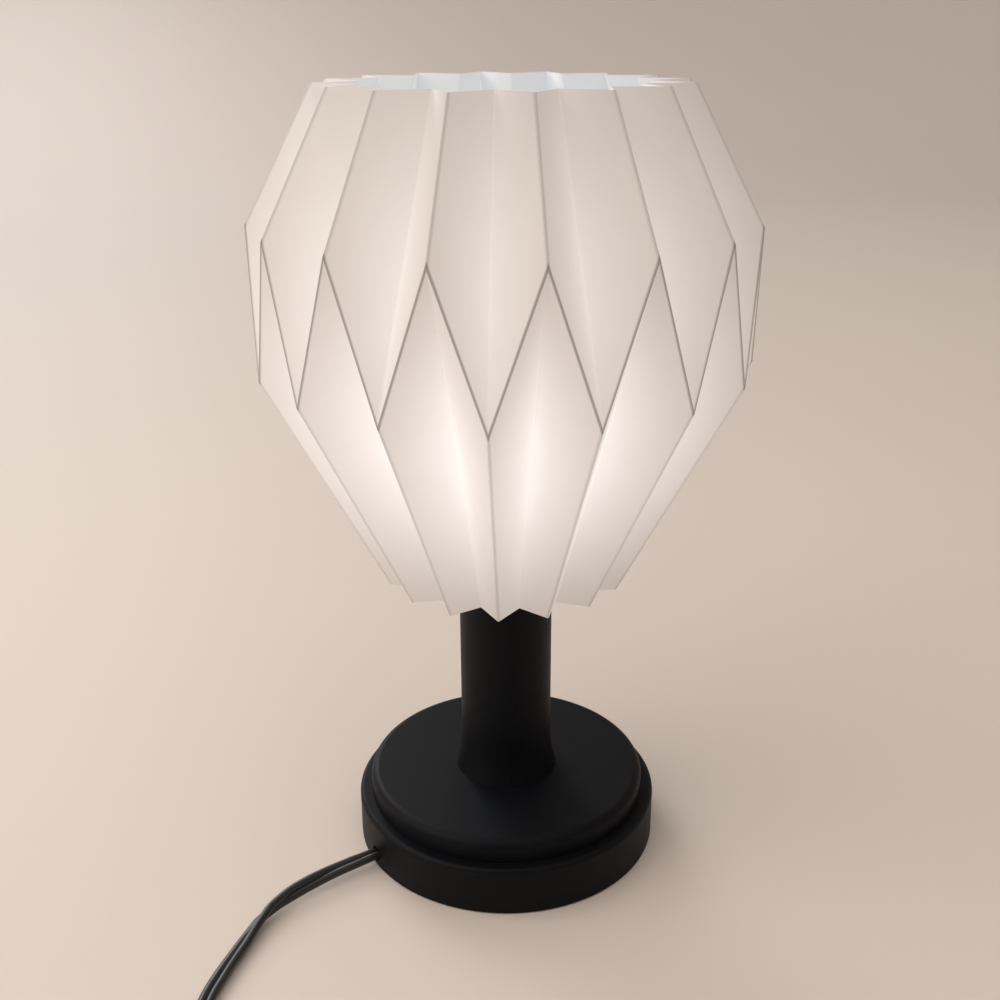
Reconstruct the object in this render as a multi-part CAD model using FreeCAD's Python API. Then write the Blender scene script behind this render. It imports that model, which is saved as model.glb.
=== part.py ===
import FreeCAD, Part
import math
import os

from FreeCAD import Vector

# A small table lamp: a pleated translucent shade on a round black foot, all sizes in millimetres.
# The origin is on the table under the middle of the foot, +Z is up and -Y is the side that faces the room.
# Azimuths are in degrees from -Y, and grow towards +X.

# ---- Running gaps
SEAT_GAP = 0.3            # between pieces that turn or lift against each other
FIT_GAP = 0.15            # between a fixed piece and the pocket that it drops into
PIPE_GAP = 0.25           # round the threaded pipe, in every piece that is strung on it
THREAD_GAP = 0.05         # between a nut or a threaded collar and the pipe
PILOT_SPARE = 0.5         # a pilot hole is this much deeper than its screw

# ---- Foot: a hollow drum, closed below, with a turned disc on top
PAD_THICK = 0.8
PAD_INSET = 2.3           # the foam stays this far inside the cover's edge
COVER_THICK = 1.6
DRUM_LIFT = 0.4           # the drum's lower edge floats this far above the table
DRUM_RADIUS = 57.7
DRUM_HEIGHT = 18.3
DRUM_WALL = 3.0
DRUM_TOP_THICK = 3.0
DRUM_EDGE = 1.6           # rounding of the drum's upper edge
REBATE = 1.2              # step in the wall that the bottom cover seats on
LEDGE_WIDE = 4.7          # how much of the drum's top shows round the disc
DISC_HEIGHT = 8.5
DISC_EDGE = 3.0           # rounding of the disc's upper edge
DISC_SKIN = 3.0
DISC_HUB = 14.0           # solid middle that carries the clamping load
DISC_RIM = 5.5            # solid rim that rests on the drum
SPIGOT_HEIGHT = 3.0       # collar on the disc that centres the stem

# ---- Screwed bosses and the ballast inside the drum
BOSS_COUNT = 3
BOSS_RADIUS = 4.0
SHOULDER_RADIUS = 7.5     # the boss is this wide above the ballast and holds it down
SHOULDER_GAP = 1.1        # between that shoulder and the drum's bore
BALLAST_THICK = 6.6
BALLAST_INNER = 21.0
BALLAST_GAP = 1.8         # between the raw casting and the drum's bore
CORD_WAY = 20.0           # width of the gap in the ballast for the cord and its clamp

# ---- Stem
STEM_RADIUS = 17.2
STEM_HEIGHT = 76.8
STEM_WALL = 3.0
FLARE_WIDE = 2.2          # how far the foot of the stem spreads
FLARE_HIGH = 15.0

# ---- Threaded pipe, nut and washer
PIPE_RADIUS = 4.85
PIPE_BORE = 3.4
PIPE_BELOW = 1.3          # pipe that shows past the nut
NUT_FLATS = 14.3
NUT_THICK = 3.2
NUT_CHAMFER = 0.3
WASHER_RADIUS = 11.0
WASHER_THICK = 1.3

# ---- Socket
CAP_FOOT = 11.5
CAP_RADIUS = 18.6
CAP_HEIGHT = 12.0
CAP_WALL = 2.0
CAP_COLLAR = 7.4
CAP_COLLAR_HIGH = 7.0
BARREL_RADIUS = 19.2
BARREL_HEIGHT = 34.0
BARREL_EDGE = 1.0
FLANGE_RADIUS = 21.6
FLANGE_THICK = 2.6
FLOOR_THICK = 3.0
SHELL_WALL = 0.4
SHELL_HEIGHT = 25.0
SHELL_FOOT = 1.2          # the shell's inward foot
TONGUE_WIDE = 5.0
TONGUE_THICK = 0.5
TONGUE_RISE = 1.0
TONGUE_REACH = 7.5        # from the axis to the tongue's fixed end
TONGUE_RAMP_FOOT = 4.2
TONGUE_RAMP_TOP = 2.4
TONGUE_TIP = 2.6
TONGUE_BEND = 0.3         # the upper side's bends lie this much further back
TERMINAL_OFFSET = 9.5
TERMINAL_HEAD = 3.0
TERMINAL_HEAD_HIGH = 1.6
TERMINAL_SHANK = 1.4
TERMINAL_SHORT = 0.4      # the shank ends this far below the floor's upper side

# ---- Ring nut that clamps the shade's frame
RING_NUT_RADIUS = 22.6
RING_NUT_HEIGHT = 8.0
RING_NUT_FLANGE = 24.6
RING_NUT_FLANGE_THICK = 1.8
RING_NUT_RIBS = 24
RIB_RADIUS = 0.9
RIB_SHORT = 0.8           # the ribs end this far below the nut's top

# ---- Shade frame: a stamped hub, four spokes and a wire ring
HUB_RADIUS = 26.0
HUB_THICK = 1.2
SPOKE_COUNT = 4
SPOKE_RADIUS = 1.1
WIRE_RADIUS = 1.25

# ---- Pleated shade: flat facets on 16 pleats, folded at an upper and a lower row of corners
PLEATS = 16
SHADE_AZIMUTH = -14.5     # azimuth of the first outward fold of the upper part
SHADE_DROP = 8.7          # the lower rim hangs this far below the wire ring
SHADE_HEIGHT = 170.7
CORNER_RADIUS = 85.0      # both rows of corners lie this far from the axis
LOWER_CORNER_UP = 79.4    # height of the lower corners above the lower rim
UPPER_CORNER_UP = 127.4
RIM_TIP_RADIUS = 43.9     # outward folds at the lower rim
RIM_TOP_RADIUS = 61.5     # outward folds at the upper rim
SHEET_THICK = 0.5

# ---- Bulb
BULB_CAP_RADIUS = 13.0
BULB_CAP_HEIGHT = 21.5
BULB_LENGTH = 108.0
GLOBE_RADIUS = 30.0
GLASS_WALL = 0.8
NECK_RADIUS = 13.0
TIP_RADIUS = 4.0
TIP_THICK = 1.2
TIP_TAPER = 1.2
INSULATOR_HEIGHT = 4.0
INSULATOR_RIM = 0.8       # black glass that shows round the tip
CAP_TAPER = 2.5           # chamfer at the screw cap's lower end
MOUNT_HEIGHT = 44.0       # glass stem that carries the filaments
MOUNT_RADIUS = 2.6
MOUNT_FOOT = 12.0
MOUNT_GAP = 1.5           # between the mount's flared foot and the glass
MOUNT_WAIST = 2.6
FILAMENT_GAP = 0.3
FILAMENT_COUNT = 4
FILAMENT_LENGTH = 34.0
FILAMENT_RADIUS = 0.9
FILAMENT_CIRCLE = 9.0
BULB_TRAVEL = 170.0       # lifts clear of the shade's rim

# ---- Cord: a flat twin lead, 5.6 wide and 3.0 thick
CORD_WIDE = 5.6
CORD_THICK = 3.0
CORD_ROUND = 2.2          # radius of the round tube with the same section
CORD_AZIMUTH = -59.0      # where the cord leaves the drum
CORD_HOLE_RADIUS = 2.95
CORD_LEVEL = 5.0          # height of the cord where it leaves the drum
CORD_ELBOW = 6.0          # just inside the wall it turns towards the axis
LEAD_OUT = 12.0           # straight cord before the switch, and beside the coil and the plug
SWITCH_LEAD = 7.0         # straight cord after the switch
COIL_LEAD = 8.0           # straight cord before the coil
CORD_BEND_RADIUS = 8.5    # of its turn up into the pipe
CORD_TAIL = 0.6           # its jacket ends this far below the pipe's upper end
LEAD_RADIUS = 1.1
LEAD_GAP = 0.1            # between a lead and the screw's head
CLAMP_INSET = 14.8        # from the drum's outside to the clamp's middle
CLAMP_LONG = 17.0
CLAMP_WIDE = 6.0
CLAMP_THICK = 2.0
CLAMP_SCREW_AWAY = 5.6    # from the cord's middle to each clamp screw
CLAMP_POST = 2.4
CLAMP_GRIP = 0.1          # left between the clamp bar and the cord

# Route of the cord on the table, from the drum to the switch, then to the coil and to the plug.
LAMP_ROUTE = [
    (-62.0, -37.9, 5.0),
    (-76.0, -48.6, 4.4),
    (-86.4, -60.0, 3.2),
    (-90.8, -74.0, 2.6),
    (-95.4, -88.0, 2.3),
    (-99.8, -103.5, 2.3),
    (-98.4, -118.5, 2.4),
    (-90.2, -130.0, 3.0),
]
SWITCH_START = (-64.5, -135.5)
SWITCH_HEADING = 2.0
COIL_ROUTE = [
    (1.0, -131.4, 3.0),
    (13.5, -126.9, 2.6),
]
PLUG_START = (2.0, -183.0)
PLUG_HEADING = 165.0

# ---- Coil of the cord that is put away, wound in two layers
COIL_CENTRE = (50.0, -153.0)
COIL_RADIUS = 37.5        # of the outermost turn
COIL_IN_ANGLE = 110.0     # where the cord runs into the coil, from +X
COIL_SWEEP = 2720.0       # degrees wound in all
COIL_SPANS = 30           # stretches that the winding is drawn in
COIL_PITCH = 3.6
LAYER_PITCH = 6.1
COIL_LIFT = 1.0           # room for the tie under the coil
TIE_THICK = 0.7
TIE_WIDE = 11.0
TIE_AZIMUTH = 0.0         # from +X about the coil's middle

# ---- Rotary switch on the cord
SWITCH_LENGTH = 52.0
SWITCH_WIDE = 22.0
SWITCH_END_WIDE = 11.0
SWITCH_HEIGHT = 15.0
SWITCH_LIFT = 0.3
SWITCH_LINE = 4.6         # height of the cord and of the parting line
SWITCH_EDGE = 1.4
WHEEL_RADIUS = 9.5
WHEEL_THICK = 4.4
WHEEL_LEVEL = 8.3         # underside of the wheel
WHEEL_OFFSET = 4.2        # axle to the cord's line
WHEEL_NOTCHES = 20
NOTCH_RADIUS = 0.55
AXLE_RADIUS = 1.2
AXLE_LOW = 2.0
AXLE_TOP = 13.4
AXLE_PRESS = 0.02         # round the axle in the housing
AXLE_PLAY = 0.08          # round the axle in the wheel
SWITCH_SCREW_X = 15.0
SWITCH_SCREW_Y = -5.7
SWITCH_SCREW_RADIUS = 1.2
SWITCH_SCREW_HEAD = 2.1
SWITCH_SCREW_HEAD_HIGH = 1.1
SWITCH_SCREW_SUNK = 0.5   # the heads lie this far inside the underside
SWITCH_SCREW_LONG = 9.0
CONTACT_X = 11.3
CONTACT_THICK = 0.6
CONTACT_WIDE = 3.6
CONTACT_HIGH = 5.0
CONTACT_GAP = 0.1         # between a contact and the cord

# ---- Two-blade plug
PLUG_LENGTH = 27.0
PLUG_WIDE = 23.0
PLUG_HEIGHT = 15.0
PLUG_BACK_WIDE = 11.0
PLUG_BACK_HEIGHT = 8.6
PLUG_FACE = 4.0           # straight flange behind the blades
PLUG_CORNER = 3.0
PLUG_LIFT = 0.1
PLUG_GROOVES = 3
GROOVE_PITCH = 4.2
GROOVE_WIDE = 1.6
GROOVE_DEEP = 0.9
BLADE_SPACING = 12.7
BLADE_THICK = 1.5
BLADE_LONG = 17.0
BLADE_ROOT = 6.0
BLADE_NARROW = 6.35
BLADE_WIDE = 7.94
BLADE_HOLE = 1.6
BLADE_HOLE_BACK = 5.0     # hole centre to the blade's tip

# ---- Fasteners
SCREW_HEAD = 3.0
SCREW_HEAD_HIGH = 1.1
SCREW_SHANK = 1.4
SCREW_LONG = 9.0
SCREW_SLOT = 0.8
SCREW_SLOT_DEEP = 0.5
CLAMP_SCREW_SHANK = 1.0
CLAMP_SCREW_HEAD = 1.9
CLAMP_SCREW_HEAD_HIGH = 1.3
CLAMP_SCREW_LONG = 5.5

# ---- Radii that follow from the drum's
COVER_BORE = DRUM_RADIUS - DRUM_WALL
DRUM_BORE = COVER_BORE - REBATE
PAD_RADIUS = COVER_BORE - PAD_INSET
BALLAST_OUTER = DRUM_BORE - BALLAST_GAP
BOSS_CIRCLE = DRUM_BORE - SHOULDER_GAP - SHOULDER_RADIUS
CLAMP_CIRCLE = DRUM_RADIUS - CLAMP_INSET
DISC_RADIUS = DRUM_RADIUS - LEDGE_WIDE

# ---- Levels that follow from the sizes above, from the table up
COVER_TOP = PAD_THICK + COVER_THICK
DRUM_TOP = DRUM_LIFT + DRUM_HEIGHT
PLATE_UNDER = DRUM_TOP - DRUM_TOP_THICK
DISC_TOP = DRUM_TOP + DISC_HEIGHT
STEM_TOP = DISC_TOP + STEM_HEIGHT
CAP_TOP = STEM_TOP + CAP_HEIGHT
PIPE_LOW = PLATE_UNDER - WASHER_THICK - NUT_THICK - PIPE_BELOW
PIPE_TOP = STEM_TOP + CAP_COLLAR_HIGH
SOCKET_FLOOR = CAP_TOP + FLOOR_THICK
BARREL_TOP = CAP_TOP + BARREL_HEIGHT
SHELL_INNER = BULB_CAP_RADIUS + SEAT_GAP
CAVITY_RADIUS = SHELL_INNER + SHELL_WALL + FIT_GAP
HUB_LOW = CAP_TOP + FLANGE_THICK + SEAT_GAP
WIRE_LEVEL = HUB_LOW + HUB_THICK / 2
NUT_LOW = HUB_LOW + HUB_THICK + SEAT_GAP
SHADE_LOW = WIRE_LEVEL - SHADE_DROP
SHADE_TOP = SHADE_LOW + SHADE_HEIGHT
BULB_LOW = SOCKET_FLOOR + TONGUE_THICK + TONGUE_RISE + SEAT_GAP
BULB_CAP_LOW = BULB_LOW + TIP_THICK + INSULATOR_HEIGHT
BULB_CAP_TOP = BULB_CAP_LOW + BULB_CAP_HEIGHT
GLOBE_LEVEL = BULB_LOW + BULB_LENGTH - GLOBE_RADIUS
PIPE_HOLE = PIPE_RADIUS + PIPE_GAP
SWITCH_SCREW_LOW = SWITCH_LIFT + SWITCH_SCREW_SUNK
UP = Vector(0, 0, 1)


# ---------------------------------------------------------------- small helpers

def export(name, shape):
    """Writes one node after a look at its validity and volume."""
    print(f"{name:20s} valid {shape.isValid()} solids {len(shape.Solids)} volume {shape.Volume:10.1f}")
    shape.exportStep(f"parts/{name}.step")


def polar(radius, azimuth, z):
    """A point at an azimuth from -Y, growing towards +X."""
    turn = math.radians(azimuth)
    return Vector(radius * math.sin(turn), -radius * math.cos(turn), z)


def rod(radius, low, high, x=0.0, y=0.0):
    """An upright cylinder between two levels."""
    return Part.makeCylinder(radius, high - low, Vector(x, y, low))


def pipe(outer, inner, low, high):
    """An upright tube about the lamp's axis."""
    return rod(outer, low, high).cut(rod(inner, low - 1, high + 1))


def block(x0, x1, y0, y1, z0, z1):
    """A box from its corners."""
    return Part.makeBox(x1 - x0, y1 - y0, z1 - z0, Vector(x0, y0, z0))


class Outline:
    """A closed profile of lines and arcs in the XZ plane, given as radius and height."""

    def __init__(self, r, z):
        self.first = Vector(r, 0, z)
        self.last = self.first
        self.edges = []

    def line(self, r, z):
        end = Vector(r, 0, z)
        self.edges.append(Part.makeLine(self.last, end))
        self.last = end
        return self

    def arc(self, via, r, z):
        end = Vector(r, 0, z)
        self.edges.append(Part.Arc(self.last, Vector(via[0], 0, via[1]), end).toShape())
        self.last = end
        return self

    def corner(self, radius, r, z, in_dir, out_dir):
        """A quarter-round at the corner (r, z) between two axis-parallel directions."""
        start = Vector(r - in_dir[0] * radius, 0, z - in_dir[1] * radius)
        end = Vector(r + out_dir[0] * radius, 0, z + out_dir[1] * radius)
        centre = start + Vector(out_dir[0], 0, out_dir[1]) * radius
        middle = centre + (Vector(r, 0, z) - centre).normalize() * radius
        self.line(start.x, start.z)
        return self.arc((middle.x, middle.z), end.x, end.z)

    def face(self):
        if self.last.distanceToPoint(self.first) > 1e-6:
            self.line(self.first.x, self.first.z)
        return Part.Face(Part.Wire(self.edges))

    def turned(self):
        """The solid that the profile sweeps about the lamp's axis."""
        return self.face().revolve(Vector(0, 0, 0), UP, 360)


def tangent_path(points):
    """Straight runs joined by tangent arcs as large as the runs allow. Returns the wire and the radii."""
    edges = []
    radii = []
    start = points[0]
    for before, corner, after in zip(points, points[1:], points[2:]):
        run_in = corner - before
        run_out = after - corner
        reach = 0.45 * min(run_in.Length, run_out.Length)
        turn = run_in.getAngle(run_out)
        way_in = Vector(run_in).normalize()
        way_out = Vector(run_out).normalize()
        radius = reach / math.tan(turn / 2)
        arc_start = corner - way_in * reach
        arc_end = corner + way_out * reach
        inward = (way_out - way_in).normalize()
        middle = corner + inward * (radius / math.cos(turn / 2) - radius)
        edges.append(Part.LineSegment(start, arc_start).toShape())
        edges.append(Part.Arc(arc_start, middle, arc_end).toShape())
        radii.append(radius)
        start = arc_end
    edges.append(Part.LineSegment(start, points[-1]).toShape())
    return Part.Wire(edges), radii


def swept(wire, profile):
    """A solid with one profile along a path, in the pipe shell's default mode."""
    return wire.makePipeShell([profile], True, False)


def round_cord(points, radius, name):
    """A plain round tube along a route, with its radii and volume printed."""
    wire, radii = tangent_path(points)
    ring = Part.Wire(Part.makeCircle(radius, points[0], points[1] - points[0]))
    tube = swept(wire, ring)
    ideal = math.pi * radius ** 2 * wire.Length
    tightest = min(radii) if radii else float("inf")
    print(f"{name}: length {wire.Length:.1f}, tightest {tightest:.1f}, volume ratio {tube.Volume / ideal:.4f}")
    return tube


def placed(shape, heading, at):
    """A copy of the shape, turned about +Z to a heading in degrees from +X and moved to a point."""
    moved = shape.copy()
    moved.Placement = FreeCAD.Placement(Vector(*at), FreeCAD.Rotation(UP, heading)).multiply(moved.Placement)
    return moved


def around(shape, count, start=0.0):
    """Copies of a shape, evenly spaced about the lamp's axis."""
    copies = []
    for i in range(count):
        turned = shape.copy()
        turned.rotate(Vector(0, 0, 0), UP, start + 360.0 * i / count)
        copies.append(turned)
    return copies


# ---------------------------------------------------------------- foot

CORD_EXIT = polar(DRUM_RADIUS, CORD_AZIMUTH, CORD_LEVEL)
CORD_DIRECTION = (Vector(*LAMP_ROUTE[0]) - CORD_EXIT).normalize()
CORD_KNEE = CORD_EXIT - CORD_DIRECTION * CORD_ELBOW
INNER_AZIMUTH = math.degrees(math.atan2(CORD_KNEE.x, -CORD_KNEE.y))
BOSS_START = CORD_AZIMUTH + 180.0 / BOSS_COUNT


def boss_axis(i):
    return polar(BOSS_CIRCLE, BOSS_START + 360.0 * i / BOSS_COUNT, 0)


def base_pad():
    return rod(PAD_RADIUS, 0, PAD_THICK)


def clamp_posts():
    """Axes of the two posts beside the cord that carry its clamp."""
    on_cord = polar(CLAMP_CIRCLE, INNER_AZIMUTH, 0)
    side = polar(CLAMP_SCREW_AWAY, INNER_AZIMUTH + 90, 0)
    return [on_cord + side, on_cord - side]


CLAMP_LOW = CORD_LEVEL + CORD_ROUND + CLAMP_GRIP


def bottom_cover():
    """A disc in the drum's rebate, with holes for its screws and two posts for the cord clamp."""
    plate = rod(COVER_BORE - FIT_GAP, PAD_THICK, COVER_TOP)
    for i in range(BOSS_COUNT):
        axis = boss_axis(i)
        plate = plate.cut(rod(SCREW_SHANK + FIT_GAP, 0, COVER_TOP + 1, axis.x, axis.y))
        plate = plate.cut(rod(SCREW_HEAD + FIT_GAP, 0, PAD_THICK + SCREW_HEAD_HIGH, axis.x, axis.y))
    for axis in clamp_posts():
        post = rod(CLAMP_POST, COVER_TOP - COVER_THICK / 2, CLAMP_LOW, axis.x, axis.y)
        pilot_low = CLAMP_LOW - (CLAMP_SCREW_LONG - CLAMP_THICK)
        plate = plate.fuse(post).cut(rod(CLAMP_SCREW_SHANK, pilot_low, CLAMP_LOW + 1, axis.x, axis.y))
    return plate.removeSplitter()


def cover_screws():
    screws = []
    for i in range(BOSS_COUNT):
        axis = boss_axis(i)
        head = rod(SCREW_HEAD, PAD_THICK, PAD_THICK + SCREW_HEAD_HIGH, axis.x, axis.y)
        shank = rod(SCREW_SHANK, PAD_THICK, PAD_THICK + SCREW_LONG, axis.x, axis.y)
        slot = block(axis.x - SCREW_HEAD, axis.x + SCREW_HEAD, axis.y - SCREW_SLOT / 2, axis.y + SCREW_SLOT / 2,
                     0, PAD_THICK + SCREW_SLOT_DEEP)
        screws.append(head.fuse(shank).cut(slot))
    return Part.makeCompound(screws)


def ballast_ring():
    """A steel ring on the cover, open towards the cord and notched round the bosses."""
    ring = pipe(BALLAST_OUTER, BALLAST_INNER, COVER_TOP, COVER_TOP + BALLAST_THICK)
    for i in range(BOSS_COUNT):
        axis = boss_axis(i)
        ring = ring.cut(rod(BOSS_RADIUS + SEAT_GAP, 0, DRUM_TOP, axis.x, axis.y))
    way = block(0, DRUM_RADIUS, -CORD_WAY / 2, CORD_WAY / 2, 0, DRUM_TOP)
    return ring.cut(placed(way, INNER_AZIMUTH - 90, (0, 0, 0)))


def base_drum():
    """The drum's shell, with a rebate for the cover, three bosses and the cord's hole."""
    profile = Outline(COVER_BORE, DRUM_LIFT)
    profile.line(DRUM_RADIUS, DRUM_LIFT)
    profile.corner(DRUM_EDGE, DRUM_RADIUS, DRUM_TOP, (0, 1), (-1, 0))
    profile.line(PIPE_HOLE, DRUM_TOP).line(PIPE_HOLE, PLATE_UNDER)
    profile.line(DRUM_BORE, PLATE_UNDER).line(DRUM_BORE, COVER_TOP)
    profile.line(COVER_BORE, COVER_TOP)
    drum = profile.turned()
    for i in range(BOSS_COUNT):
        axis = boss_axis(i)
        shoulder_low = COVER_TOP + BALLAST_THICK + FIT_GAP
        drum = drum.fuse(rod(BOSS_RADIUS, COVER_TOP, PLATE_UNDER + 1, axis.x, axis.y))
        drum = drum.fuse(rod(SHOULDER_RADIUS, shoulder_low, PLATE_UNDER + 1, axis.x, axis.y))
    for i in range(BOSS_COUNT):
        axis = boss_axis(i)
        drum = drum.cut(rod(SCREW_SHANK, COVER_TOP - 1, PAD_THICK + SCREW_LONG + PILOT_SPARE, axis.x, axis.y))
    outward = (CORD_EXIT - CORD_KNEE).normalize()
    inside = CORD_EXIT - outward * (2 * DRUM_WALL + REBATE)
    hole = Part.makeCylinder(CORD_HOLE_RADIUS, 4 * DRUM_WALL, inside, outward)
    return drum.cut(hole).removeSplitter()


def base_disc():
    """The turned disc on the drum, relieved from below, with a collar that centres the stem."""
    spigot = STEM_RADIUS - STEM_WALL - FIT_GAP
    profile = Outline(PIPE_HOLE, DRUM_TOP)
    profile.line(DISC_HUB, DRUM_TOP).line(DISC_HUB, DISC_TOP - DISC_SKIN)
    profile.line(DISC_RADIUS - DISC_RIM, DISC_TOP - DISC_SKIN).line(DISC_RADIUS - DISC_RIM, DRUM_TOP)
    profile.line(DISC_RADIUS, DRUM_TOP)
    profile.corner(DISC_EDGE, DISC_RADIUS, DISC_TOP, (0, 1), (-1, 0))
    profile.line(spigot, DISC_TOP).line(spigot, DISC_TOP + SPIGOT_HEIGHT)
    profile.line(PIPE_HOLE, DISC_TOP + SPIGOT_HEIGHT)
    return profile.turned()


def stem():
    """The round stem: a flared foot, a straight tube and a web at the top for the pipe."""
    inner = STEM_RADIUS - STEM_WALL
    bend = (FLARE_HIGH ** 2 + FLARE_WIDE ** 2) / (2 * FLARE_WIDE)
    half = math.asin(FLARE_HIGH / bend) / 2
    via_r = STEM_RADIUS + bend * (1 - math.cos(half))
    via_z = DISC_TOP + FLARE_HIGH - bend * math.sin(half)
    profile = Outline(inner, DISC_TOP)
    profile.line(STEM_RADIUS + FLARE_WIDE, DISC_TOP)
    profile.arc((via_r, via_z), STEM_RADIUS, DISC_TOP + FLARE_HIGH)
    profile.line(STEM_RADIUS, STEM_TOP).line(PIPE_HOLE, STEM_TOP)
    profile.line(PIPE_HOLE, STEM_TOP - STEM_WALL).line(inner, STEM_TOP - STEM_WALL)
    return profile.turned()


def lamp_pipe():
    return pipe(PIPE_RADIUS, PIPE_BORE, PIPE_LOW, PIPE_TOP)


def pipe_washer():
    return pipe(WASHER_RADIUS, PIPE_HOLE, PLATE_UNDER - WASHER_THICK, PLATE_UNDER)


def pipe_nut():
    """A thin hexagonal nut under the washer, chamfered by a cone on its lower side."""
    top = PLATE_UNDER - WASHER_THICK
    corner = NUT_FLATS / math.sqrt(3)
    points = [Vector(corner * math.cos(math.radians(60 * i)), corner * math.sin(math.radians(60 * i)),
                     top - NUT_THICK) for i in range(7)]
    hexagon = Part.Face(Part.makePolygon(points)).extrude(Vector(0, 0, NUT_THICK))
    cone = Part.makeCone(NUT_FLATS / 2 - NUT_CHAMFER, NUT_FLATS / 2 + 2 * NUT_THICK, 1.6 * NUT_THICK,
                         Vector(0, 0, top - NUT_THICK))
    return hexagon.common(cone).cut(rod(PIPE_RADIUS + THREAD_GAP, 0, STEM_TOP))


def cord_clamp():
    """A bar over the cord, screwed to the cover's two posts, with rounded ends."""
    straight = CLAMP_LONG - CLAMP_WIDE
    bar = block(-straight / 2, straight / 2, -CLAMP_WIDE / 2, CLAMP_WIDE / 2, 0, CLAMP_THICK)
    for end in (-straight / 2, straight / 2):
        bar = bar.fuse(rod(CLAMP_WIDE / 2, 0, CLAMP_THICK, end, 0))
    for side in (-CLAMP_SCREW_AWAY, CLAMP_SCREW_AWAY):
        bar = bar.cut(rod(CLAMP_SCREW_SHANK + FIT_GAP, -1, CLAMP_THICK + 1, side, 0))
    return placed(bar.removeSplitter(), INNER_AZIMUTH, polar(CLAMP_CIRCLE, INNER_AZIMUTH, CLAMP_LOW))


def clamp_screws():
    screws = []
    for axis in clamp_posts():
        seat = CLAMP_LOW + CLAMP_THICK
        head = rod(CLAMP_SCREW_HEAD, seat, seat + CLAMP_SCREW_HEAD_HIGH, axis.x, axis.y)
        screws.append(head.fuse(rod(CLAMP_SCREW_SHANK, seat - CLAMP_SCREW_LONG, seat, axis.x, axis.y)))
    return Part.makeCompound(screws)


def inner_cord():
    """The cord inside the lamp: in through the drum, up the pipe, and split into its two leads."""
    top = PIPE_TOP - CORD_TAIL
    first, _ = tangent_path([CORD_EXIT, CORD_KNEE, Vector(0, 0, CORD_KNEE.z)])
    edges = list(first.Edges[:-1])
    run_start = edges[-1].valueAt(edges[-1].LastParameter)
    corner = Vector(0, 0, CORD_KNEE.z)
    inward = (corner - run_start).normalize()
    arc_start = corner - inward * CORD_BEND_RADIUS
    arc_end = corner + UP * CORD_BEND_RADIUS
    slant = CORD_BEND_RADIUS * math.sin(math.pi / 4)
    middle = arc_start + inward * slant + UP * (CORD_BEND_RADIUS - slant)
    edges.append(Part.LineSegment(run_start, arc_start).toShape())
    edges.append(Part.Arc(arc_start, middle, arc_end).toShape())
    edges.append(Part.LineSegment(arc_end, Vector(0, 0, top)).toShape())
    wire = Part.Wire(edges)
    cord = swept(wire, Part.Wire(Part.makeCircle(CORD_ROUND, CORD_EXIT, CORD_DIRECTION)))
    ideal = math.pi * CORD_ROUND ** 2 * wire.Length
    print(f"inner_cord: length {wire.Length:.1f}, tightest {CORD_BEND_RADIUS:.1f}, "
          f"volume ratio {cord.Volume / ideal:.4f}")
    for side in (-1, 1):
        start = Vector(side * (LEAD_RADIUS + LEAD_GAP / 2), 0, top - 1)
        level = CAP_TOP - TERMINAL_HEAD_HIGH - LEAD_RADIUS - LEAD_GAP
        knee = Vector(start.x, 0, level)
        end = Vector(side * TERMINAL_OFFSET, 0, level)
        lead, _ = tangent_path([start, knee, end])
        cord = cord.fuse(swept(lead, Part.Wire(Part.makeCircle(LEAD_RADIUS, start, UP))))
    return cord


# ---------------------------------------------------------------- socket

def socket_cap():
    """The domed cap: a flat foot on the stem, a threaded collar for the pipe and an open top."""
    inner = CAP_RADIUS - CAP_WALL
    shoulder = STEM_TOP + CAP_HEIGHT * 0.62
    profile = Outline(PIPE_RADIUS + THREAD_GAP, STEM_TOP)
    profile.line(CAP_FOOT, STEM_TOP)
    profile.arc((CAP_FOOT + 0.72 * (CAP_RADIUS - CAP_FOOT), STEM_TOP + 0.26 * CAP_HEIGHT), CAP_RADIUS, shoulder)
    profile.line(CAP_RADIUS, CAP_TOP).line(inner, CAP_TOP).line(inner, shoulder)
    profile.arc((CAP_FOOT + 0.72 * (inner - CAP_FOOT) - 0.3, STEM_TOP + CAP_WALL + 0.26 * (CAP_HEIGHT - CAP_WALL)),
                CAP_FOOT - 1, STEM_TOP + CAP_WALL)
    profile.line(CAP_COLLAR, STEM_TOP + CAP_WALL).line(CAP_COLLAR, STEM_TOP + CAP_COLLAR_HIGH)
    profile.line(PIPE_RADIUS + THREAD_GAP, STEM_TOP + CAP_COLLAR_HIGH)
    return profile.turned()


def socket_body():
    """The insulating barrel: a flange below, a floor with two terminal holes and an open mouth."""
    profile = Outline(0, CAP_TOP)
    profile.line(FLANGE_RADIUS, CAP_TOP).line(FLANGE_RADIUS, CAP_TOP + FLANGE_THICK)
    profile.line(BARREL_RADIUS, CAP_TOP + FLANGE_THICK)
    profile.corner(BARREL_EDGE, BARREL_RADIUS, BARREL_TOP, (0, 1), (-1, 0))
    profile.line(CAVITY_RADIUS, BARREL_TOP).line(CAVITY_RADIUS, SOCKET_FLOOR).line(0, SOCKET_FLOOR)
    body = profile.turned()
    for side in (-1, 1):
        body = body.cut(rod(TERMINAL_SHANK, CAP_TOP - 1, SOCKET_FLOOR + 1, side * TERMINAL_OFFSET))
    return body


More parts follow.
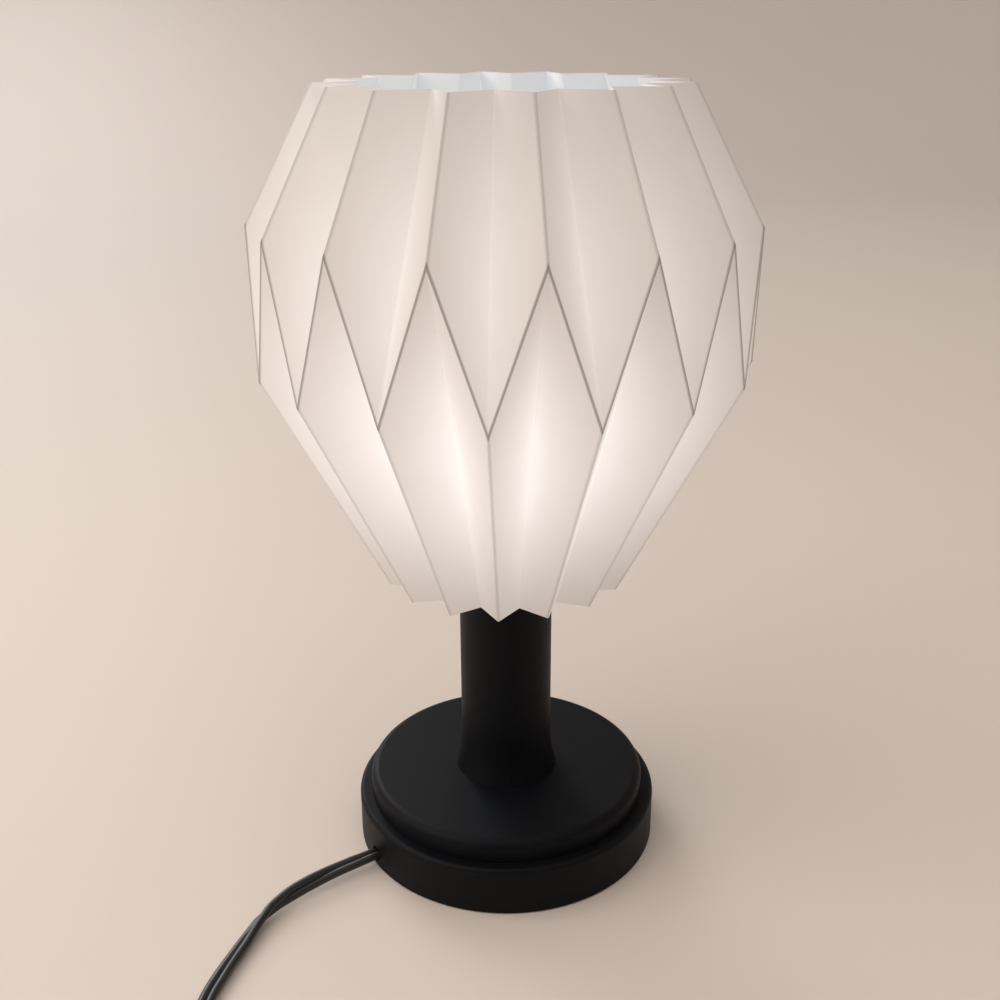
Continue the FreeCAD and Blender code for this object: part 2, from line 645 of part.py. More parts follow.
def screw_shell():
    """The brass shell that the bulb screws into, with an inward foot on the socket's floor."""
    outer = SHELL_INNER + SHELL_WALL
    top = SOCKET_FLOOR + SHELL_HEIGHT
    profile = Outline(SHELL_INNER - SHELL_FOOT, SOCKET_FLOOR)
    profile.line(outer, SOCKET_FLOOR).line(outer, top)
    profile.line(SHELL_INNER, top).line(SHELL_INNER, SOCKET_FLOOR + SHELL_WALL)
    profile.line(SHELL_INNER - SHELL_FOOT, SOCKET_FLOOR + SHELL_WALL)
    return profile.turned()


def centre_contact():
    """A bent brass tongue: flat on the floor at one side, raised under the bulb's tip."""
    low = SOCKET_FLOOR
    high = low + TONGUE_RISE
    half = TONGUE_WIDE / 2
    corners = [(-TONGUE_REACH, low), (-TONGUE_RAMP_FOOT, low), (-TONGUE_RAMP_TOP, high), (TONGUE_TIP, high),
               (TONGUE_TIP, high + TONGUE_THICK), (-TONGUE_RAMP_TOP - TONGUE_BEND, high + TONGUE_THICK),
               (-TONGUE_RAMP_FOOT - TONGUE_BEND, low + TONGUE_THICK), (-TONGUE_REACH, low + TONGUE_THICK)]
    points = [Vector(x, -half, z) for x, z in corners]
    tongue = Part.Face(Part.makePolygon(points + points[:1])).extrude(Vector(0, TONGUE_WIDE, 0))
    tongue.rotate(Vector(0, 0, 0), UP, 90)
    return tongue


def terminal_screws():
    """Two brass screws under the socket's floor, with the leads' ends under their heads."""
    screws = []
    for side in (-1, 1):
        x = side * TERMINAL_OFFSET
        head = rod(TERMINAL_HEAD, CAP_TOP - TERMINAL_HEAD_HIGH, CAP_TOP, x)
        shank = rod(TERMINAL_SHANK - THREAD_GAP, CAP_TOP - TERMINAL_HEAD_HIGH, SOCKET_FLOOR - TERMINAL_SHORT, x)
        screws.append(head.fuse(shank))
    return Part.makeCompound(screws)


def shade_nut():
    """The ring nut on the barrel: a flange below and a ribbed grip above."""
    bore = BARREL_RADIUS + SEAT_GAP
    top = NUT_LOW + RING_NUT_HEIGHT
    profile = Outline(bore, NUT_LOW)
    profile.line(RING_NUT_FLANGE, NUT_LOW).line(RING_NUT_FLANGE, NUT_LOW + RING_NUT_FLANGE_THICK)
    profile.line(RING_NUT_RADIUS, NUT_LOW + RING_NUT_FLANGE_THICK).line(RING_NUT_RADIUS, top).line(bore, top)
    nut = profile.turned()
    rib = rod(RIB_RADIUS, NUT_LOW + RING_NUT_FLANGE_THICK / 2, top - RIB_SHORT, RING_NUT_RADIUS)
    return nut.multiFuse(around(rib, RING_NUT_RIBS)).removeSplitter()


# ---------------------------------------------------------------- shade

class Pleats:
    """The shade's outer and inner skins. Each part is a star pyramid, and the wall is one of them
    shifted along the axis, so the sheet keeps one thickness and its facets stay flat."""

    def __init__(self):
        low, high = SHADE_LOW, SHADE_TOP
        upper = low + UPPER_CORNER_UP
        lower = low + LOWER_CORNER_UP
        self.low_apex = low - RIM_TIP_RADIUS * LOWER_CORNER_UP / (CORNER_RADIUS - RIM_TIP_RADIUS)
        self.high_apex = high + RIM_TOP_RADIUS * (high - upper) / (CORNER_RADIUS - RIM_TOP_RADIUS)
        # Radius gained per millimetre along each fold: "out" folds point outwards in the upper part.
        self.low_slope = {"out": CORNER_RADIUS / (upper - self.low_apex),
                          "in": CORNER_RADIUS / (lower - self.low_apex)}
        self.high_slope = {"out": CORNER_RADIUS / (self.high_apex - upper),
                           "in": CORNER_RADIUS / (self.high_apex - lower)}
        self.low_shift = SHEET_THICK / self.upright(self.low_slope)
        self.high_shift = SHEET_THICK / self.upright(self.high_slope)

    def upright(self, slope):
        """The vertical share of a facet's unit normal, the same for every facet of one part."""
        step = math.pi / PLEATS
        a = Vector(slope["out"], 0, 1)
        b = Vector(slope["in"] * math.cos(step), slope["in"] * math.sin(step), 1)
        return abs(a.cross(b).normalize().z)

    def point(self, fold, index, z, skin):
        """A point on a fold line at a height, on the outer (0) or the inner (1) skin."""
        from_low = self.low_slope[fold] * (z - self.low_apex - skin * self.low_shift)
        from_high = self.high_slope[fold] * (self.high_apex - skin * self.high_shift - z)
        azimuth = SHADE_AZIMUTH + 360.0 * index / PLEATS + (180.0 / PLEATS if fold == "in" else 0.0)
        return polar(min(from_low, from_high), azimuth, z)

    def corner_level(self, fold, skin):
        """The height where a fold line passes from the lower part to the upper one."""
        low = self.low_slope[fold]
        high = self.high_slope[fold]
        return (low * (self.low_apex + skin * self.low_shift)
                + high * (self.high_apex - skin * self.high_shift)) / (low + high)

    def skin_faces(self, skin):
        """The flat facets of one skin: 32 above and 32 below the zigzag fold."""
        faces = []
        out_level = self.corner_level("out", skin)
        in_level = self.corner_level("in", skin)
        for index in range(PLEATS):
            upper = self.point("out", index, out_level, skin)
            for neighbour in (index, index - 1):
                lower = self.point("in", neighbour, in_level, skin)
                above = [self.point("out", index, SHADE_TOP, skin), self.point("in", neighbour, SHADE_TOP, skin)]
                below = [self.point("in", neighbour, SHADE_LOW, skin), self.point("out", index, SHADE_LOW, skin)]
                for ring in ([*above, lower, upper], [upper, lower, *below]):
                    faces.append(Part.Face(Part.makePolygon(ring + ring[:1])))
        return faces

    def rim_face(self, z):
        """The cut edge of the sheet at one rim."""
        wires = []
        for skin in (0, 1):
            ring = []
            for index in range(PLEATS):
                ring += [self.point("out", index, z, skin), self.point("in", index, z, skin)]
            wires.append(Part.makePolygon(ring + ring[:1]))
        return Part.makeFace(wires, "Part::FaceMakerBullseye")

    def solid(self):
        faces = self.skin_faces(0) + self.skin_faces(1) + [self.rim_face(SHADE_LOW), self.rim_face(SHADE_TOP)]
        shell = Part.makeShell(faces)
        shell.sewShape()
        shell.fix(1e-6, 1e-6, 1e-6)
        body = Part.Solid(shell)
        if body.Volume < 0:
            body.reverse()
        return body


def shade_frame(pleats):
    """A stamped hub, four spokes and the wire ring that the pleats' inner folds rest on."""
    lean = math.atan(pleats.low_slope["out"])
    inner_fold = pleats.point("out", 0, WIRE_LEVEL, 1)
    ring_radius = math.hypot(inner_fold.x, inner_fold.y) - (WIRE_RADIUS + SEAT_GAP) / math.cos(lean)
    frame = pipe(HUB_RADIUS, BARREL_RADIUS + SEAT_GAP, HUB_LOW, HUB_LOW + HUB_THICK)
    spoke = Part.makeCylinder(SPOKE_RADIUS, ring_radius - HUB_RADIUS + 1, Vector(HUB_RADIUS - 1, 0, WIRE_LEVEL),
                              Vector(1, 0, 0))
    frame = frame.multiFuse(around(spoke, SPOKE_COUNT, 180.0 / SPOKE_COUNT))
    frame = frame.fuse(Part.makeTorus(ring_radius, WIRE_RADIUS, Vector(0, 0, WIRE_LEVEL), UP))
    return frame


# ---------------------------------------------------------------- bulb

def bulb_profile(inset):
    """The pear outline of the glass from its neck to its crown, as edges of an Outline."""
    globe = GLOBE_RADIUS - inset
    neck = NECK_RADIUS - inset
    low = BULB_CAP_TOP
    # The neck's curve is an arc that starts upright at the cap and meets the globe at a tangent.
    rise = GLOBE_LEVEL - low
    bend = (rise ** 2 + neck ** 2 - globe ** 2) / (2 * (globe - neck))
    angle = math.atan2(rise, neck + bend)
    join = (globe * math.cos(angle), GLOBE_LEVEL - globe * math.sin(angle))
    centre = (neck + bend, low)
    half = angle / 2
    via = (centre[0] - bend * math.cos(half), centre[1] + bend * math.sin(half))
    crown_via = (globe * math.cos(math.radians(20)), GLOBE_LEVEL + globe * math.sin(math.radians(20)))
    return neck, via, join, crown_via, globe


def bulb_glass():
    """The frosted pear-shaped envelope, hollow, open at its neck."""
    neck, via, join, crown_via, globe = bulb_profile(0)
    profile = Outline(neck, BULB_CAP_TOP)
    profile.arc(via, *join).arc(crown_via, 0, GLOBE_LEVEL + globe)
    neck, via, join, crown_via, globe = bulb_profile(GLASS_WALL)
    profile.line(0, GLOBE_LEVEL + globe)
    profile.arc(crown_via, *join).arc(via, neck, BULB_CAP_TOP)
    return profile.turned()


def bulb_screw_cap():
    """The metal cap, a shade narrower than the socket's shell, closed on top by the glass."""
    profile = Outline(0, BULB_CAP_LOW)
    profile.line(BULB_CAP_RADIUS - CAP_TAPER, BULB_CAP_LOW).line(BULB_CAP_RADIUS, BULB_CAP_LOW + CAP_TAPER)
    profile.line(BULB_CAP_RADIUS, BULB_CAP_TOP).line(0, BULB_CAP_TOP)
    return profile.turned()


def bulb_insulator():
    """The black glass cone between the cap and the tip."""
    low = BULB_LOW + TIP_THICK
    return Part.makeCone(TIP_RADIUS + INSULATOR_RIM, BULB_CAP_RADIUS - CAP_TAPER, INSULATOR_HEIGHT,
                         Vector(0, 0, low))


def bulb_tip():
    """The solder tip that meets the socket's tongue."""
    return Part.makeCone(TIP_RADIUS - TIP_TAPER, TIP_RADIUS, TIP_THICK, Vector(0, 0, BULB_LOW))


def bulb_mount():
    """The clear glass stem inside the bulb, with its flared foot."""
    profile = Outline(0, BULB_CAP_TOP)
    profile.line(NECK_RADIUS - GLASS_WALL - MOUNT_GAP, BULB_CAP_TOP)
    waist = (MOUNT_RADIUS + MOUNT_WAIST, BULB_CAP_TOP + MOUNT_FOOT / 3)
    profile.arc(waist, MOUNT_RADIUS, BULB_CAP_TOP + MOUNT_FOOT)
    profile.line(MOUNT_RADIUS, BULB_CAP_TOP + MOUNT_HEIGHT - MOUNT_RADIUS)
    profile.arc((MOUNT_RADIUS * math.cos(math.pi / 4),
                 BULB_CAP_TOP + MOUNT_HEIGHT - MOUNT_RADIUS * (1 - math.sin(math.pi / 4))),
                0, BULB_CAP_TOP + MOUNT_HEIGHT)
    return profile.turned()


def bulb_filaments():
    """Four slim light sticks that lean in to a wire star on the glass stem."""
    top = BULB_CAP_TOP + MOUNT_HEIGHT - MOUNT_RADIUS
    lean = math.asin((FILAMENT_CIRCLE - MOUNT_RADIUS) / (2 * FILAMENT_LENGTH))
    axis = Vector(math.sin(lean), 0, -math.cos(lean))
    start = Vector(MOUNT_RADIUS + FILAMENT_RADIUS + FILAMENT_GAP, 0, top)
    stick = Part.makeCylinder(FILAMENT_RADIUS, FILAMENT_LENGTH, start, axis)
    return Part.makeCompound(around(stick, FILAMENT_COUNT, 45))


# ---------------------------------------------------------------- cord on the table

def heading_vector(degrees):
    return Vector(math.cos(math.radians(degrees)), math.sin(math.radians(degrees)), 0)


SWITCH_WAY = heading_vector(SWITCH_HEADING)
SWITCH_IN = Vector(SWITCH_START[0], SWITCH_START[1], SWITCH_LINE)
SWITCH_OUT = SWITCH_IN + SWITCH_WAY * SWITCH_LENGTH
SWITCH_MIDDLE = (SWITCH_IN + SWITCH_OUT) * 0.5


class Coil:
    """The winding: in on the lower layer, up a layer where the spiral reverses, out on the upper one."""

    def __init__(self):
        self.turns = COIL_SWEEP / 360.0
        self.low = COIL_LIFT + CORD_WIDE / 2
        self.wire = None

    def place(self, share):
        """Centre point and tangent at a share of the winding from 0 to 1."""
        turned = share * self.turns
        half = self.turns / 2
        away = abs(turned - half)
        radius = COIL_RADIUS - COIL_PITCH * (half - away)
        rate = 0.0 if away < 1e-9 else math.copysign(COIL_PITCH, turned - half)
        # The climb takes the two spans beside the middle.
        climb_turns = 2 * self.turns / COIL_SPANS
        step = min(max((turned - half) / climb_turns + 0.5, 0.0), 1.0)
        height = self.low + LAYER_PITCH * step * step * (3 - 2 * step)
        slope = LAYER_PITCH * 6 * step * (1 - step) / climb_turns
        angle = math.radians(COIL_IN_ANGLE) - 2 * math.pi * turned
        outward = Vector(math.cos(angle), math.sin(angle), 0)
        onward = Vector(math.sin(angle), -math.cos(angle), 0)
        point = Vector(COIL_CENTRE[0], COIL_CENTRE[1], height) + outward * radius
        tangent = outward * rate + onward * (2 * math.pi * radius) + UP * slope
        return point, tangent.normalize()

    def ends(self):
        """The square ends of the straight leads, each with its outward direction."""
        first, way_in = self.place(0.0)
        last, way_out = self.place(1.0)
        return (first - way_in * CORD_WIDE, way_in), (last + way_out * CORD_WIDE, way_out)

    def biarc(self, p0, t0, p1, t1):
        """Two arcs that leave p0 along t0, meet smoothly and arrive at p1 along t1."""
        chord = p1 - p0
        both = t0 + t1
        a = 2 * (1 - t0.dot(t1))
        b = 2 * chord.dot(both)
        c = -chord.dot(chord)
        reach = (-b + math.sqrt(b * b - 4 * a * c)) / (2 * a)
        joint = (p0 + t0 * reach + p1 - t1 * reach) * 0.5
        return [self.arc_from(p0, t0, joint), self.arc_from(p1, t1 * -1, joint)]

    def arc_from(self, start, tangent, end):
        """The arc that leaves start along tangent and reaches end."""
        chord = end - start
        side = (chord - tangent * chord.dot(tangent)).normalize()
        half = tangent.getAngle(chord) / 2
        quarter = chord.Length / (2 * math.cos(half))
        middle = start + (tangent * math.cos(half) + side * math.sin(half)) * quarter
        return Part.Arc(start, middle, end).toShape()

    def solid(self):
        (start, way_in), (end, way_out) = self.ends()
        first, _ = self.place(0.0)
        edges = [Part.LineSegment(start, first).toShape()]
        for span in range(COIL_SPANS):
            p0, t0 = self.place(span / COIL_SPANS)
            p1, t1 = self.place((span + 1) / COIL_SPANS)
            edges += self.biarc(p0, t0, p1, t1)
        last, _ = self.place(1.0)
        edges.append(Part.LineSegment(last, end).toShape())
        self.wire = Part.Wire(Part.__sortEdges__(edges))
        profile = Part.Ellipse(Vector(0, 0, 0), CORD_WIDE / 2, CORD_THICK / 2).toShape()
        upright = FreeCAD.Rotation(UP, way_in.cross(UP), way_in, "ZXY")
        profile.Placement = FreeCAD.Placement(start, upright)
        tube = swept(self.wire, Part.Wire(profile))
        ideal = math.pi * CORD_WIDE * CORD_THICK / 4 * self.wire.Length
        print(f"cord_coil: length {self.wire.Length:.1f}, volume ratio {tube.Volume / ideal:.4f}, "
              f"least gap to itself {self.least_gap():.2f}")
        return tube

    def least_gap(self):
        """The least distance between the outlines of turns that pass the same azimuth."""
        steps = 24
        count = int(self.turns * steps)
        turns = [2 * math.pi * i / 24 for i in range(24)]
        outline = [(math.cos(turn) * CORD_THICK / 2, math.sin(turn) * CORD_WIDE / 2) for turn in turns]
        sections = []
        for i in range(count + 1):
            point, _ = self.place(min(i / (self.turns * steps), 1.0))
            radius = math.hypot(point.x - COIL_CENTRE[0], point.y - COIL_CENTRE[1])
            sections.append([(radius + x, point.z + z) for x, z in outline])
        least = float("inf")
        for i, section in enumerate(sections):
            for other in sections[i + steps::steps]:
                for x, z in section:
                    for u, w in other:
                        least = min(least, math.hypot(x - u, z - w))
        return least

    def tie(self):
        """A strap round all the turns at one place, with a lapped end on its outer side."""
        inner_edge = COIL_RADIUS - COIL_PITCH * self.turns / 2 - CORD_THICK / 2
        sag = inner_edge - math.sqrt(inner_edge ** 2 - (TIE_WIDE / 2) ** 2)
        x0 = inner_edge - sag - SEAT_GAP
        x1 = COIL_RADIUS + CORD_THICK / 2 + SEAT_GAP
        z0 = TIE_THICK
        z1 = self.low + LAYER_PITCH + CORD_WIDE / 2 + SEAT_GAP
        half = TIE_WIDE / 2
        outer = block(x0 - TIE_THICK, x1 + TIE_THICK, -half, half, z0 - TIE_THICK, z1 + TIE_THICK)
        long_edges = [e for e in outer.Edges if abs(e.tangentAt(0).y) > 0.99]
        outer = outer.makeFillet(0.95 * TIE_THICK, long_edges)
        strap = outer.cut(block(x0, x1, -half - 1, half + 1, z0, z1))
        lap = block(x1 + TIE_THICK / 2, x1 + 2 * TIE_THICK, -half, half, z0 + 2, z1 - 2)
        strap = strap.fuse(lap).removeSplitter()
        return placed(strap, TIE_AZIMUTH, (COIL_CENTRE[0], COIL_CENTRE[1], 0))


def lamp_cord():
    """The stretch from the drum to the switch."""
    points = [CORD_EXIT] + [Vector(*p) for p in LAMP_ROUTE] + [SWITCH_IN - SWITCH_WAY * LEAD_OUT, SWITCH_IN]
    return round_cord(points, CORD_ROUND, "lamp_cord")


def middle_cord(coil):
    """The stretch from the switch to the coil."""
    (start, way_in), _ = coil.ends()
    points = [SWITCH_OUT, SWITCH_OUT + SWITCH_WAY * SWITCH_LEAD] + [Vector(*p) for p in COIL_ROUTE]
    points += [start - way_in * COIL_LEAD, start]
    return round_cord(points, CORD_ROUND, "middle_cord")


def plug_cord(coil):
    """The stretch from the coil to the plug."""
    _, (end, way_out) = coil.ends()
    back = Vector(PLUG_START[0], PLUG_START[1], PLUG_LIFT + PLUG_HEIGHT / 2)
    points = [end, end + way_out * LEAD_OUT, back - heading_vector(PLUG_HEADING) * LEAD_OUT, back]
    return round_cord(points, CORD_ROUND, "plug_cord")


# ---------------------------------------------------------------- switch on the cord

def switch_outline(low, high):
    """A long rounded block between two levels: bowed sides and flat ends for the cord."""
    half = SWITCH_LENGTH / 2
    end = SWITCH_END_WIDE / 2
    side = SWITCH_WIDE / 2
    edges = [
        Part.Arc(Vector(-half, end, low), Vector(0, side, low), Vector(half, end, low)).toShape(),
        Part.makeLine(Vector(half, end, low), Vector(half, -end, low)),
        Part.Arc(Vector(half, -end, low), Vector(0, -side, low), Vector(-half, -end, low)).toShape(),
        Part.makeLine(Vector(-half, -end, low), Vector(-half, end, low)),
    ]
    return Part.Face(Part.Wire(edges)).extrude(Vector(0, 0, high - low))


def switch_channel():
    radius = CORD_ROUND + FIT_GAP
    start = Vector(-SWITCH_LENGTH / 2 - 1, 0, SWITCH_LINE)
    return Part.makeCylinder(radius, SWITCH_LENGTH + 2, start, Vector(1, 0, 0))


def rounded_rim(shape, level):
    """Rounds the edges of a housing half that lie at one level."""
    rim = [e for e in shape.Edges if all(abs(v.Z - level) < 1e-6 for v in e.Vertexes)]
    return shape.makeFillet(SWITCH_EDGE, rim)


def switch_base():
    half = rounded_rim(switch_outline(SWITCH_LIFT, SWITCH_LINE), SWITCH_LIFT)
    half = half.cut(switch_channel()).cut(rod(AXLE_RADIUS + AXLE_PRESS, AXLE_LOW, SWITCH_HEIGHT, 0, WHEEL_OFFSET))
    for x in (-SWITCH_SCREW_X, SWITCH_SCREW_X):
        half = half.cut(rod(SWITCH_SCREW_RADIUS + FIT_GAP, 0, SWITCH_LINE + 1, x, SWITCH_SCREW_Y))
        head_top = SWITCH_SCREW_LOW + SWITCH_SCREW_HEAD_HIGH
        half = half.cut(rod(SWITCH_SCREW_HEAD + FIT_GAP, 0, head_top, x, SWITCH_SCREW_Y))
    return half


def switch_cover():
    top = SWITCH_LIFT + SWITCH_HEIGHT
    half = rounded_rim(switch_outline(SWITCH_LINE, top), top)
    half = half.cut(switch_channel()).cut(rod(AXLE_RADIUS + AXLE_PRESS, 0, AXLE_TOP, 0, WHEEL_OFFSET))
    half = half.cut(rod(WHEEL_RADIUS + SEAT_GAP, WHEEL_LEVEL - SEAT_GAP, WHEEL_LEVEL + WHEEL_THICK + SEAT_GAP,
                        0, WHEEL_OFFSET))
    for x in (-SWITCH_SCREW_X, SWITCH_SCREW_X):
        pilot_top = SWITCH_SCREW_LOW + SWITCH_SCREW_LONG + PILOT_SPARE
        half = half.cut(rod(SWITCH_SCREW_RADIUS, 0, pilot_top, x, SWITCH_SCREW_Y))
    for x in (-CONTACT_X, CONTACT_X):
        gap = FIT_GAP
        low = SWITCH_LINE + CORD_ROUND
        half = half.cut(block(x - CONTACT_THICK / 2 - gap, x + CONTACT_THICK / 2 + gap, -CONTACT_WIDE / 2 - gap,
                              CONTACT_WIDE / 2 + gap, low - 1, low + CONTACT_HIGH + 2 * gap))
    return half


def switch_wheel():
    """The ribbed wheel whose edge shows at the side of the switch."""
    top = WHEEL_LEVEL + WHEEL_THICK
    wheel = rod(WHEEL_RADIUS, WHEEL_LEVEL, top).cut(rod(AXLE_RADIUS + AXLE_PLAY, 0, SWITCH_HEIGHT))
    notch = rod(NOTCH_RADIUS, WHEEL_LEVEL - 1, top + 1, WHEEL_RADIUS)
    wheel = wheel.cut(Part.makeCompound(around(notch, WHEEL_NOTCHES)))
    wheel.translate(Vector(0, WHEEL_OFFSET, 0))
    return wheel


def switch_axle():
    return rod(AXLE_RADIUS, AXLE_LOW, AXLE_TOP, 0, WHEEL_OFFSET)


def switch_screws():
    screws = []
    for x in (-SWITCH_SCREW_X, SWITCH_SCREW_X):
        low = SWITCH_SCREW_LOW
        head = rod(SWITCH_SCREW_HEAD, low, low + SWITCH_SCREW_HEAD_HIGH, x, SWITCH_SCREW_Y)
        shank = rod(SWITCH_SCREW_RADIUS, low, low + SWITCH_SCREW_LONG, x, SWITCH_SCREW_Y)
        screws.append(head.fuse(shank))
    return Part.makeCompound(screws)


def switch_contacts():
    low = SWITCH_LINE + CORD_ROUND + CONTACT_GAP
    plates = [block(x - CONTACT_THICK / 2, x + CONTACT_THICK / 2, -CONTACT_WIDE / 2, CONTACT_WIDE / 2,
                    low, low + CONTACT_HIGH) for x in (-CONTACT_X, CONTACT_X)]
    return Part.makeCompound(plates)


def switch_cord():
    """The cord's run through the switch."""
    start = Vector(-SWITCH_LENGTH / 2, 0, SWITCH_LINE)
    return Part.makeCylinder(CORD_ROUND, SWITCH_LENGTH, start, Vector(1, 0, 0))


# ---------------------------------------------------------------- plug

def rounded_section(x, wide, high, corner):
    """A rounded rectangle across the plug's length, as a wire of lines and arcs."""
    y, z = wide / 2, high / 2
    lean = corner * (1 - math.sqrt(0.5))
    corners = [(y, z, -1, -1), (-y, z, 1, -1), (-y, -z, 1, 1), (y, -z, -1, 1)]
    edges = []
    last = None
    first = None
    for i, (cy, cz, sy, sz) in enumerate(corners):
        on_z = Vector(x, cy, cz + sz * corner)
        on_y = Vector(x, cy + sy * corner, cz)
        via = Vector(x, cy + sy * lean, cz + sz * lean)
        start, end = (on_z, on_y) if i % 2 == 0 else (on_y, on_z)
        if last:
            edges.append(Part.makeLine(last, start))
        first = first or start
        edges.append(Part.Arc(start, via, end).toShape())
        last = end
    edges.append(Part.makeLine(last, first))
    return Part.Wire(edges)


def plug_body():
    """The moulded body: a narrow throat for the cord that swells to the face, with finger grooves."""
    throat = rounded_section(0, PLUG_BACK_WIDE, PLUG_BACK_HEIGHT, PLUG_CORNER)
    face = rounded_section(PLUG_LENGTH - PLUG_FACE, PLUG_WIDE, PLUG_HEIGHT, PLUG_CORNER)
    front = rounded_section(PLUG_LENGTH, PLUG_WIDE, PLUG_HEIGHT, PLUG_CORNER)
    body = Part.makeLoft([throat, face], True, True).fuse(Part.makeLoft([face, front], True, True))
    for i in range(PLUG_GROOVES):
        x = PLUG_LENGTH - PLUG_FACE - GROOVE_PITCH * (i + 1)
        share = x / (PLUG_LENGTH - PLUG_FACE)
        reach = (PLUG_BACK_WIDE + (PLUG_WIDE - PLUG_BACK_WIDE) * share) / 2
        for side in (-1, 1):
            groove = block(x - GROOVE_WIDE / 2, x + GROOVE_WIDE / 2, -2, 2, -PLUG_HEIGHT, PLUG_HEIGHT)
            groove.translate(Vector(0, side * (reach - GROOVE_DEEP + 2), 0))
            body = body.cut(groove)
    for side, wide in ((-1, BLADE_NARROW), (1, BLADE_WIDE)):
        body = body.cut(blade_blank(side, wide))
    return body


def blade_blank(side, wide):
    y = side * BLADE_SPACING / 2
    return block(PLUG_LENGTH - BLADE_ROOT, PLUG_LENGTH + BLADE_LONG, y - BLADE_THICK / 2, y + BLADE_THICK / 2,
                 -wide / 2, wide / 2)


def plug_blade(side, wide):
    """A flat blade with its hole and its chamfered tip."""
    blade = blade_blank(side, wide)
    tip = PLUG_LENGTH + BLADE_LONG
    corner_edges = [e for e in blade.Edges
                    if abs(e.tangentAt(0).y) > 0.99 and all(abs(v.X - tip) < 1e-6 for v in e.Vertexes)]
    blade = blade.makeChamfer(BLADE_THICK, corner_edges)
    hole = Part.makeCylinder(BLADE_HOLE, BLADE_SPACING, Vector(tip - BLADE_HOLE_BACK, side * BLADE_SPACING / 2
                             - BLADE_SPACING / 2, 0), Vector(0, 1, 0))
    return blade.cut(hole)


# ---------------------------------------------------------------- assembly

def main():
    os.makedirs("parts", exist_ok=True)
    pleats = Pleats()
    coil = Coil()
    plug_at = (PLUG_START[0], PLUG_START[1], PLUG_LIFT + PLUG_HEIGHT / 2)
    nodes = {
        "base_pad": base_pad(),
        "bottom_cover": bottom_cover(),
        "cover_screws": cover_screws(),
        "ballast_ring": ballast_ring(),
        "base_drum": base_drum(),
        "base_disc": base_disc(),
        "stem": stem(),
        "lamp_pipe": lamp_pipe(),
        "pipe_washer": pipe_washer(),
        "pipe_nut": pipe_nut(),
        "cord_clamp": cord_clamp(),
        "clamp_screws": clamp_screws(),
        "inner_cord": inner_cord(),
        "socket_cap": socket_cap(),
        "socket_body": socket_body(),
        "screw_shell": screw_shell(),
        "centre_contact": centre_contact(),
        "terminal_screws": terminal_screws(),
        "shade_nut": shade_nut(),
        "shade_frame": shade_frame(pleats),
        "pleated_shade": pleats.solid(),
        "bulb_glass": bulb_glass(),
        "bulb_screw_cap": bulb_screw_cap(),
        "bulb_insulator": bulb_insulator(),
        "bulb_tip": bulb_tip(),
        "bulb_mount": bulb_mount(),
        "bulb_filaments": bulb_filaments(),
        "lamp_cord": lamp_cord(),
        "middle_cord": middle_cord(coil),
        "cord_coil": coil.solid(),
        "plug_cord": plug_cord(coil),
        "cord_tie": coil.tie(),
    }
    for name, make in (("switch_base", switch_base), ("switch_cover", switch_cover), ("switch_wheel", switch_wheel),
                       ("switch_axle", switch_axle), ("switch_screws", switch_screws),
                       ("switch_contacts", switch_contacts), ("switch_cord", switch_cord)):
        nodes[name] = placed(make(), SWITCH_HEADING, (SWITCH_MIDDLE.x, SWITCH_MIDDLE.y, 0))
    nodes["plug_body"] = placed(plug_body(), PLUG_HEADING, plug_at)
    nodes["plug_blade_narrow"] = placed(plug_blade(-1, BLADE_NARROW), PLUG_HEADING, plug_at)
    nodes["plug_blade_wide"] = placed(plug_blade(1, BLADE_WIDE), PLUG_HEADING, plug_at)
    for name, shape in nodes.items():
        export(name, shape)


main()
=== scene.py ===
import logging
import math
from dataclasses import dataclass, field
from enum import Enum

import bmesh
import bpy
from mathutils import Matrix, Vector

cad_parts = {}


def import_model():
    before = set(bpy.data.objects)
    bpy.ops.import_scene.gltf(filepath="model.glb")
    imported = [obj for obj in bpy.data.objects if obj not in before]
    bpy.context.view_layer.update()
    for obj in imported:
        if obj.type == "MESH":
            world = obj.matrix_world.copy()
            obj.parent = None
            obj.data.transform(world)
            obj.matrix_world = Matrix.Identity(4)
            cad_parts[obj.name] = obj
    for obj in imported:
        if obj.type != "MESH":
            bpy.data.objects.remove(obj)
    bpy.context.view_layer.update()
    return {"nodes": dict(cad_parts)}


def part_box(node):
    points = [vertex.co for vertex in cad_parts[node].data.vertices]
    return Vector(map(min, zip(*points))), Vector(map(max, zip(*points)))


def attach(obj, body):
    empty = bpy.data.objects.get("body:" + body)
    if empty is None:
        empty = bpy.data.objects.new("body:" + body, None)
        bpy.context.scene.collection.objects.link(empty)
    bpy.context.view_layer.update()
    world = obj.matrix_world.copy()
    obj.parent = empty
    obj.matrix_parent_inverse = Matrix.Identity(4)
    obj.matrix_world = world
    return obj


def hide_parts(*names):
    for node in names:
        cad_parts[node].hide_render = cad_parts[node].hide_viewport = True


LOG = logging.getLogger("pleated_lamp")
Pair = tuple[float, float]
Triple = tuple[float, float, float]
Socket = bpy.types.NodeSocket
SWEPT_CREASE = 50.0   # degrees above which an edge of a cord or a strap stays sharp


# ---------------------------------------------------------------- geometry helpers

def polar(radius: float, azimuth: float, height: float) -> Vector:
    """A point round the lamp's axis.

    Args:
        radius: distance from the axis in metres.
        azimuth: degrees from -Y towards +X.
        height: height above the table in metres.

    Returns:
        The point in the row frame.
    """
    turn = math.radians(azimuth)
    return Vector((radius * math.sin(turn), -radius * math.cos(turn), height))


